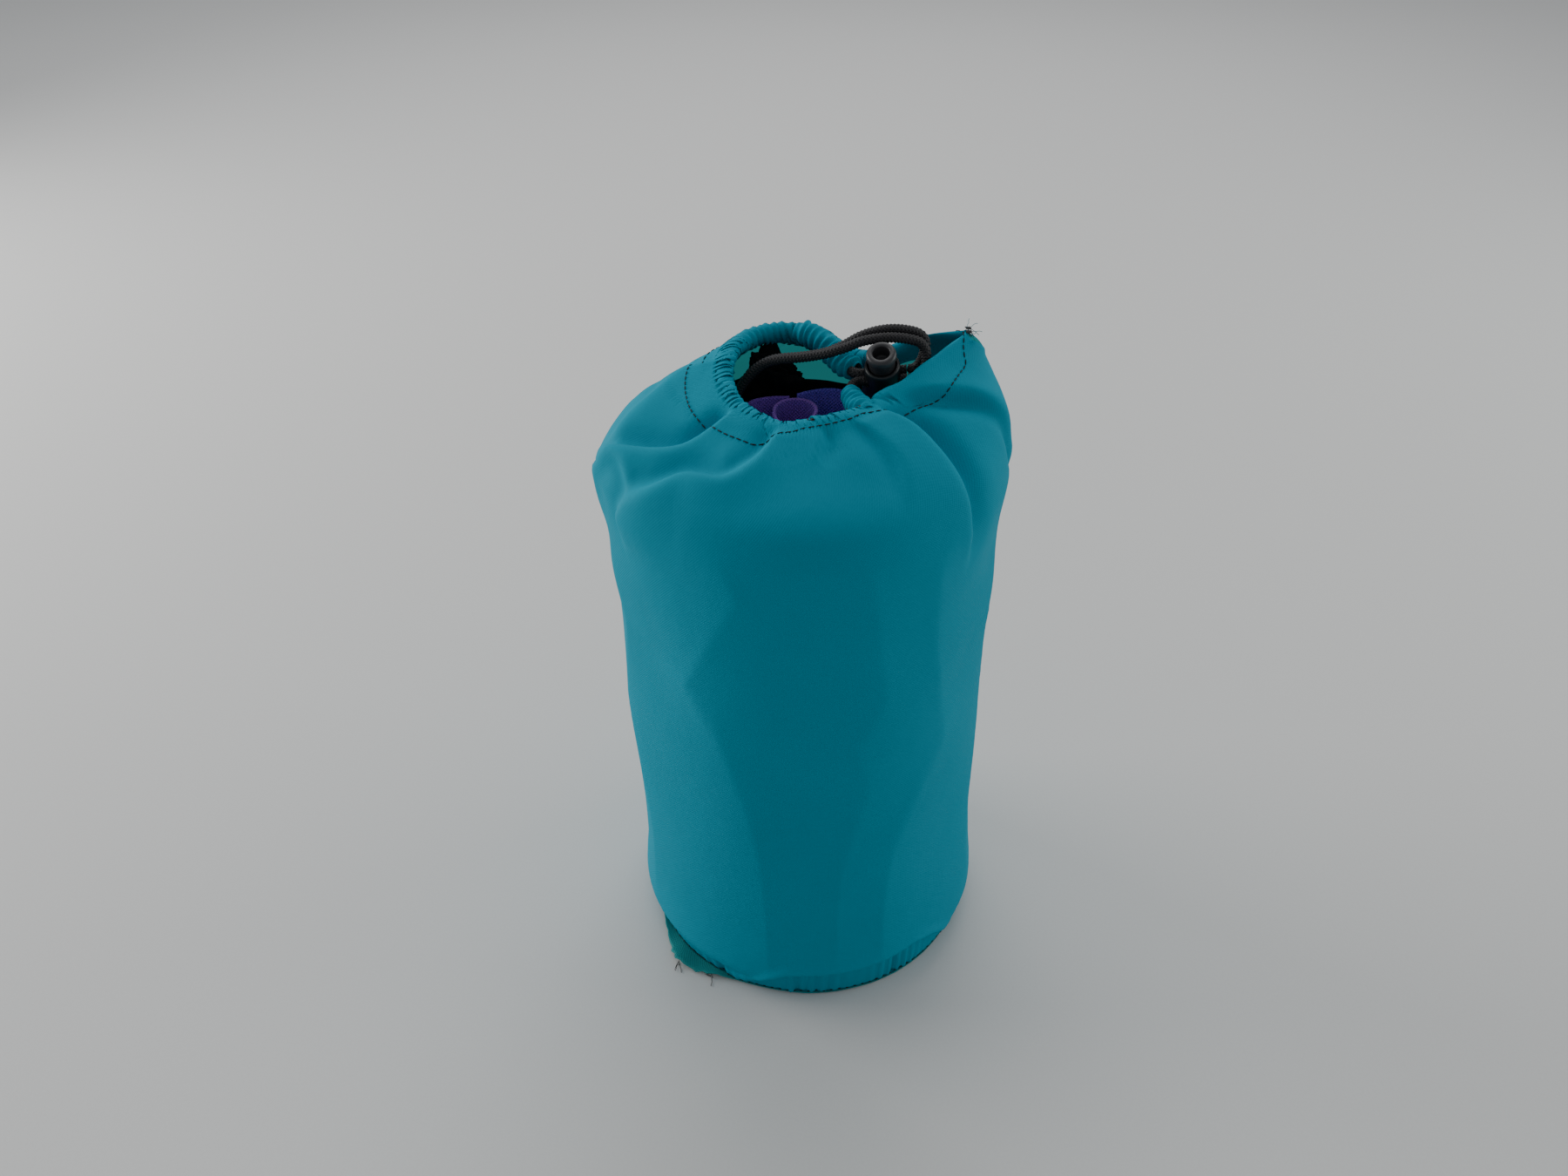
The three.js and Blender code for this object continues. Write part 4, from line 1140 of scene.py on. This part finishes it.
def turned_part(name, profile, slot_low, slot_high):
    """A lathed body in the lock's frame with a round-ended slot cut across it."""
    edit = bmesh.new()
    rings = []
    for radius, up in profile:
        if radius == 0:
            rings.append([edit.verts.new(at_lock(0, 0, up) * MM)])
            continue
        turn = [2 * math.pi * k / LOCK_SIDES for k in range(LOCK_SIDES)]
        places = [at_lock(radius * math.cos(a), radius * math.sin(a), up) for a in turn]
        rings.append([edit.verts.new(place * MM) for place in places])
    for low, high in zip(rings, rings[1:]):
        for k in range(LOCK_SIDES):
            after = (k + 1) % LOCK_SIDES
            corners = [low[k % len(low)], low[after % len(low)], high[after % len(high)], high[k % len(high)]]
            edit.faces.new(list(dict.fromkeys(corners)))
    bmesh.ops.recalc_face_normals(edit, faces=edit.faces)
    mesh = bpy.data.meshes.new(name)
    edit.to_mesh(mesh)
    edit.clear()
    outline = []
    half = (slot_high - slot_low) / 2
    straight = SLOT_HALF_WIDTH - SLOT_HALF_HEIGHT
    for k in range(32):
        a = 2 * math.pi * (k + 0.5) / 32
        across = SLOT_HALF_HEIGHT * math.cos(a) + math.copysign(straight, math.cos(a))
        outline.append((across, (slot_low + slot_high) / 2 + half * math.sin(a)))
    ends = [[edit.verts.new(at_lock(side, across, up) * MM) for across, up in outline] for side in (-10, 10)]
    for k in range(32):
        edit.faces.new([ends[0][k], ends[0][(k + 1) % 32], ends[1][(k + 1) % 32], ends[1][k]])
    edit.faces.new(ends[0])
    edit.faces.new(ends[1])
    bmesh.ops.recalc_face_normals(edit, faces=edit.faces)
    cut_mesh = bpy.data.meshes.new(name + "_slot")
    edit.to_mesh(cut_mesh)
    edit.free()
    part = bpy.data.objects.new(name, mesh)
    cutter = bpy.data.objects.new(name + "_slot", cut_mesh)
    bpy.context.scene.collection.objects.link(part)
    bpy.context.scene.collection.objects.link(cutter)
    slot_cut = part.modifiers.new("slot", "BOOLEAN")
    slot_cut.operation = "DIFFERENCE"
    slot_cut.solver = "EXACT"
    slot_cut.object = cutter
    rounded = part.modifiers.new("soft edges", "BEVEL")
    rounded.width = 0.22 * MM
    rounded.segments = 2
    rounded.limit_method = "ANGLE"
    rounded.angle_limit = math.radians(40)
    finish_modifiers(part)
    bpy.data.objects.remove(cutter)
    part.data.polygons.foreach_set("use_smooth", [True] * len(part.data.polygons))
    part.data.set_sharp_from_angle(angle=math.radians(40))
    return part


def moulded_plastic(name, colour, roughness):
    """Moulded plastic with a faint spark-eroded grain and finger-worn, slightly glossier patches."""
    mat = bpy.data.materials.new(name)
    mat.use_nodes = True
    tree = mat.node_tree
    shader = tree.nodes["Principled BSDF"]
    place = tree.nodes.new("ShaderNodeTexCoord")
    grain = tree.nodes.new("ShaderNodeTexNoise")
    grain.inputs["Scale"].default_value = 2600.0
    worn = tree.nodes.new("ShaderNodeTexNoise")
    worn.inputs["Scale"].default_value = 140.0
    for noise in (grain, worn):
        tree.links.new(place.outputs["Object"], noise.inputs["Vector"])
    shader.inputs["Base Color"].default_value = colour
    shine = calc(tree, "MULTIPLY_ADD", worn.outputs["Fac"], -0.22, roughness + 0.11)
    tree.links.new(shine, shader.inputs["Roughness"])
    bump = tree.nodes.new("ShaderNodeBump")
    bump.inputs["Distance"].default_value = 0.00005
    bump.inputs["Strength"].default_value = 0.7
    tree.links.new(grain.outputs["Fac"], bump.inputs["Height"])
    tree.links.new(bump.outputs[0], shader.inputs["Normal"])
    return mat


barrel_plastic = moulded_plastic("barrel plastic", (0.0075, 0.0105, 0.013, 1.0), 0.42)
button_plastic = moulded_plastic("button plastic", (0.030, 0.030, 0.033, 1.0), 0.40)
lock_body = turned_part("lock_barrel_moulding", BARREL_PROFILE, -SLOT_HALF_HEIGHT, SLOT_HALF_HEIGHT)
lock_body.data.materials.append(barrel_plastic)
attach(lock_body, "cord_lock")
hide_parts("lock_barrel")
lock_plunger = turned_part("lock_plunger", BUTTON_PROFILE, -SLOT_HALF_HEIGHT, SLOT_HALF_HEIGHT + PRESS_TRAVEL)
lock_plunger.data.materials.append(button_plastic)
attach(lock_plunger, "button")
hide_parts("lock_button")
steel = bpy.data.materials.new("spring steel")
steel.use_nodes = True
steel.node_tree.nodes["Principled BSDF"].inputs["Metallic"].default_value = 1.0
steel.node_tree.nodes["Principled BSDF"].inputs["Base Color"].default_value = (0.55, 0.54, 0.52, 1.0)
drawn = steel.node_tree.nodes.new("ShaderNodeTexNoise")
drawn.inputs["Scale"].default_value = 1800.0
steel.node_tree.links.new(calc(steel.node_tree, "MULTIPLY_ADD", drawn.outputs["Fac"], 0.2, 0.22),
                          steel.node_tree.nodes["Principled BSDF"].inputs["Roughness"])
# The coil stands between the barrel's floor and the plunger. It is built at one length, though the real coil
# shortens as the button goes in.
SPRING_RADIUS = 3.2
SPRING_WIRE = 0.3
SPRING_TURNS = 4
SPRING_LOW = -8.95
SPRING_HIGH = -4.35
coil_turn = np.linspace(0, 2 * np.pi * SPRING_TURNS, SPRING_TURNS * 30 + 1)
coil_rise = np.linspace(SPRING_LOW, SPRING_HIGH, len(coil_turn))
coil_line = np.array([at_lock(SPRING_RADIUS * math.cos(t), SPRING_RADIUS * math.sin(t), h)
                      for t, h in zip(coil_turn, coil_rise)])
coil = tube_mesh("lock_coil_spring", coil_line, SPRING_WIRE, 10)
coil.data.materials.append(steel)
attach(coil, "cord_lock")
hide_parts("lock_spring")
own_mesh(coil)


# ============ The load and what lies on it ============
# Clothes packed in the sack lie in shade and show only as darkness, so they are one soft bundle with a rumpled
# top, coloured black as painted shade. On it stand two folds and a rolled loop of broad webbing, and behind them
# a crushed black pouch with its turned-down edge.
LOAD_RADIUS = 67.4
STRAP_LOW = 206.4
STRAP_TOP = 236.0
STRAP_THICK = 1.4


def packed_bundle():
    """A soft bundle that fills the wall, with long random rumples on its top."""
    sides, dice = 96, np.random.default_rng(5)
    profile = [(0.01, 1.8), (30, 1.8), (60, 1.8), (66, 5), (67.2, 12), (67.2, 40), (67.2, 80), (67.2, 120),
               (67.2, 176), (66.4, 188), (62, 198), (52, 203), (44, 204.2), (36, 204.8), (28, 205), (20, 205),
               (12, 205), (5, 205), (0.01, 205)]
    turn = np.linspace(0, 2 * np.pi, sides + 1)
    waves = dice.normal(size=(7, 4))
    rows = []
    for radius, up in profile:
        x, y = radius * np.cos(turn), radius * np.sin(turn)
        rumple = sum(np.sin(x * w[0] * 0.10 + y * w[1] * 0.10 + w[2] * 4) * 0.9 for w in waves)
        z = up + (np.minimum(rumple, 0.9) - 0.9) * (up > 190)
        rows.append(np.stack([x - LEAN * eased(z / SHOULDER_HEIGHT), y, z + 0 * x], axis=1))
    bundle = sheet_mesh("packed_bundle", np.array(rows), turn * LOAD_RADIUS, np.arange(len(rows)) * 10.0)
    weld(bundle, gap=2e-5)
    return bundle


# black cloth of the pouch; on the packed load the same black is painted shade for the dark inside of the sack
black_cloth_and_painted_shade = cloth_finish("black lining cloth and painted shade", (0.0028, 0.0028, 0.0034, 1.0),
                           (0.0014, 0.0014, 0.0018, 1.0), 0.8, sheen=0.03, specular=0.25)
load = packed_bundle()
# painted shade: the load is coloured black
load.data.materials.append(black_cloth_and_painted_shade)
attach(load, "sack")
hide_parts("packed_load")


def webbing(name, line, node, material, closed=False, wave=0.5, top=STRAP_TOP):
    """A band standing on its edge along a line in plan, with rounded edges and a slow wave in its height."""
    centre = smooth_line([(x, y, 0.0) for x, y in line], 0.7, closed)
    if closed:
        centre = centre[:-1] if np.linalg.norm(centre[0] - centre[-1]) < 0.2 else centre
    ahead = np.roll(centre, -1, axis=0) - np.roll(centre, 1, axis=0) if closed else np.gradient(centre, axis=0)
    ahead /= np.linalg.norm(ahead, axis=1)[:, None]
    beside = np.stack([-ahead[:, 1], ahead[:, 0], 0 * ahead[:, 0]], axis=1)
    half = STRAP_THICK / 2
    run = np.arange(len(centre)) * 0.7
    crest = top - wave * (0.5 + 0.5 * np.sin(run / 9.0 + len(name)))
    side = [(half, 0.0), (half, 0.35), (half, 0.7), (half, 1.0 - half / 30), (half * 0.7, 1.0 - half / 100)]
    section = [(-off, share_up) for off, share_up in side] + [(0.0, 1.0)] + side[::-1]
    ribs = []
    for off, share_up in section:
        bow = 0.5 * np.sin(np.pi * share_up) * np.sin(run / 6.0)
        up = STRAP_LOW + (crest - STRAP_LOW) * share_up
        ribs.append(centre + beside * (off + bow)[:, None] + np.stack([0 * up, 0 * up, up], axis=1))
    ribs.append(ribs[0])
    points = np.array(ribs)
    if closed:
        points = np.concatenate([points, points[:, :1]], axis=1)
    steps = np.linalg.norm(np.diff(points[:, 0], axis=0), axis=1)
    around = np.concatenate([[0.0], np.cumsum(steps)])
    band = sheet_mesh(name, points, np.arange(points.shape[1]) * 0.7, around)
    weld(band, holes=lambda edge: True)
    band.data.materials.append(material)
    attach(band, "sack")
    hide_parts(node)
    return band


def webbing_finish(name, colour, shade, edge_colour):
    """Close-woven webbing, paler and redder along its top edge where the light catches it."""
    mat = cloth_finish(name, colour, shade, 0.72, pitch=0.7, bump=0.9, sheen=0.10, specular=0.25)
    tree = mat.node_tree
    shader = tree.nodes["Principled BSDF"]
    place = tree.nodes.new("ShaderNodeTexCoord")
    split = tree.nodes.new("ShaderNodeSeparateXYZ")
    tree.links.new(place.outputs["Object"], split.inputs[0])
    rise = calc(tree, "MULTIPLY_ADD", split.outputs[2], 1 / 0.0012, -(STRAP_TOP * MM - 0.0013) / 0.0012)
    mask = calc(tree, "MINIMUM", calc(tree, "MAXIMUM", rise, 0.0), 1.0)
    mix = tree.nodes.new("ShaderNodeMix")
    mix.data_type = "RGBA"
    before = shader.inputs["Base Color"].links[0].from_socket
    tree.links.new(mask, mix.inputs["Factor"])
    tree.links.new(before, mix.inputs[6])
    mix.inputs[7].default_value = edge_colour
    tree.links.new(mix.outputs[2], shader.inputs["Base Color"])
    return mat


violet = webbing_finish("violet webbing", (0.300, 0.110, 0.680, 1.0), (0.210, 0.075, 0.520, 1.0),
                        (0.300, 0.110, 0.560, 1.0))
indigo = webbing_finish("indigo webbing", (0.260, 0.140, 0.850, 1.0), (0.190, 0.095, 0.680, 1.0),
                        (0.200, 0.120, 0.800, 1.0))
RING_LINE = [(-14.6, 6.0), (-13.0, 12.0), (-8.0, 15.0), (-2.5, 13.5), (0.5, 8.5), (-0.5, 2.0), (-4.5, -3.5),
             (-9.5, -4.5), (-13.2, -0.5)]
LEFT_LINE = [(-9.0, 18.4), (-16.0, 18.0), (-22.5, 15.0), (-25.0, 9.0), (-23.5, 2.0),
             (-20.5, -4.0), (-19.0, -11.0)]
RIGHT_LINE = [(-6.0, 19.4), (-1.5, 21.6), (6.0, 23.0), (12.5, 20.6), (18.0, 14.5), (17.4, 8.0), (11.0, 3.5),
              (6.6, -2.0), (8.0, -9.0)]
EDGE_LINE = [(-4.0, 29.6), (5.0, 28.6), (10.0, 27.4), (16.0, 26.6), (22.0, 24.4), (26.0, 20.0)]
webbing("ring_of_webbing", RING_LINE, "violet_strap_ring", violet, closed=True)
webbing("left_fold_of_webbing", LEFT_LINE, "violet_strap_left", violet, top=STRAP_TOP - 0.5)
webbing("right_fold_of_webbing", RIGHT_LINE, "indigo_strap_right", indigo)
webbing("pouch_turned_edge", EDGE_LINE, "pouch_edge", black_cloth_and_painted_shade, top=STRAP_TOP + 0.4, wave=1.6)


def crushed_pouch():
    """A crushed roll of thin black cloth: a squashed capsule with soft lobes and sharp random folds."""
    edit = bmesh.new()
    bmesh.ops.create_icosphere(edit, subdivisions=6, radius=1.0)
    mesh = bpy.data.meshes.new("crushed_pouch")
    edit.to_mesh(mesh)
    edit.free()
    flat = np.empty(len(mesh.vertices) * 3)
    mesh.vertices.foreach_get("co", flat)
    unit = flat.reshape(-1, 3)
    dice = np.random.default_rng(9)
    fold = np.zeros(len(unit))
    for size, count in ((3.0, 5), (6.0, 6), (11.0, 6)):
        for _ in range(count):
            way = dice.normal(size=3)
            wave = np.sin(unit @ (way / np.linalg.norm(way)) * size + dice.uniform(0, 6.3))
            fold += (1 - 2 * np.abs(wave) ** 0.7) * 0.55 / size ** 0.8
    scaled = unit * (1 + 0.32 * fold[:, None]) * (16.0, 7.6, 21.0)
    scaled[:, 1] -= 0.05 * np.minimum(scaled[:, 0], 0) ** 2  # it curves with the wall behind it
    place = scaled + (-16.0, 28.5, 233.0)
    mesh.vertices.foreach_set("co", (place * MM).ravel())
    mesh.polygons.foreach_set("use_smooth", [True] * len(mesh.polygons))
    mesh.uv_layers.new(name="cloth")
    pouch = bpy.data.objects.new("crushed_pouch", mesh)
    bpy.context.scene.collection.objects.link(pouch)
    return pouch


pouch = crushed_pouch()
pouch.data.materials.append(black_cloth_and_painted_shade)
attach(pouch, "sack")
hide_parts("pouch_roll")


# ============ The room ============
# A pale seamless floor, a large soft light on the left and behind, a weaker one on the right, and a wide
# one overhead.
bpy.ops.mesh.primitive_plane_add(size=8.0)
floor = bpy.context.object
floor.name = "floor"
floor_mat = bpy.data.materials.new("pale floor")
floor_mat.use_nodes = True
tree = floor_mat.node_tree
place = tree.nodes.new("ShaderNodeTexCoord")
grain = tree.nodes.new("ShaderNodeTexNoise")
grain.inputs["Scale"].default_value = 900.0
tree.links.new(place.outputs["Object"], grain.inputs["Vector"])
tones = tree.nodes.new("ShaderNodeValToRGB")
tones.color_ramp.elements[0].color = (0.655, 0.655, 0.645, 1.0)
tones.color_ramp.elements[1].color = (0.695, 0.695, 0.685, 1.0)
tree.links.new(grain.outputs["Fac"], tones.inputs[0])
tree.links.new(tones.outputs[0], tree.nodes["Principled BSDF"].inputs["Base Color"])
tree.nodes["Principled BSDF"].inputs["Roughness"].default_value = 0.95
tree.nodes["Principled BSDF"].inputs["Specular IOR Level"].default_value = 0.1
floor.data.materials.append(floor_mat)

world = bpy.data.worlds.new("room")
world.use_nodes = True
world.node_tree.nodes["Background"].inputs[0].default_value = (0.93, 0.96, 1.0, 1.0)
world.node_tree.nodes["Background"].inputs[1].default_value = 0.39
bpy.context.scene.world = world


def soft_light(name, place, size, power, colour):
    light = bpy.data.lights.new(name, "AREA")
    light.shape = "SQUARE"
    light.size = size
    light.energy = power
    light.color = colour
    lamp = bpy.data.objects.new(name, light)
    lamp.location = place
    lamp.rotation_euler = (Vector((0.0, 0.0, 0.14)) - Vector(place)).to_track_quat("-Z", "Y").to_euler()
    bpy.context.scene.collection.objects.link(lamp)


soft_light("window", (-1.35, 0.42, 0.42), 0.9, 14.0, (1.0, 0.99, 0.97))
soft_light("far wall", (1.35, 0.22, 0.40), 0.9, 6.0, (0.95, 1.0, 0.97))
soft_light("ceiling", (0.0, 1.4, 1.8), 1.8, 20.0, (1.0, 1.0, 1.0))
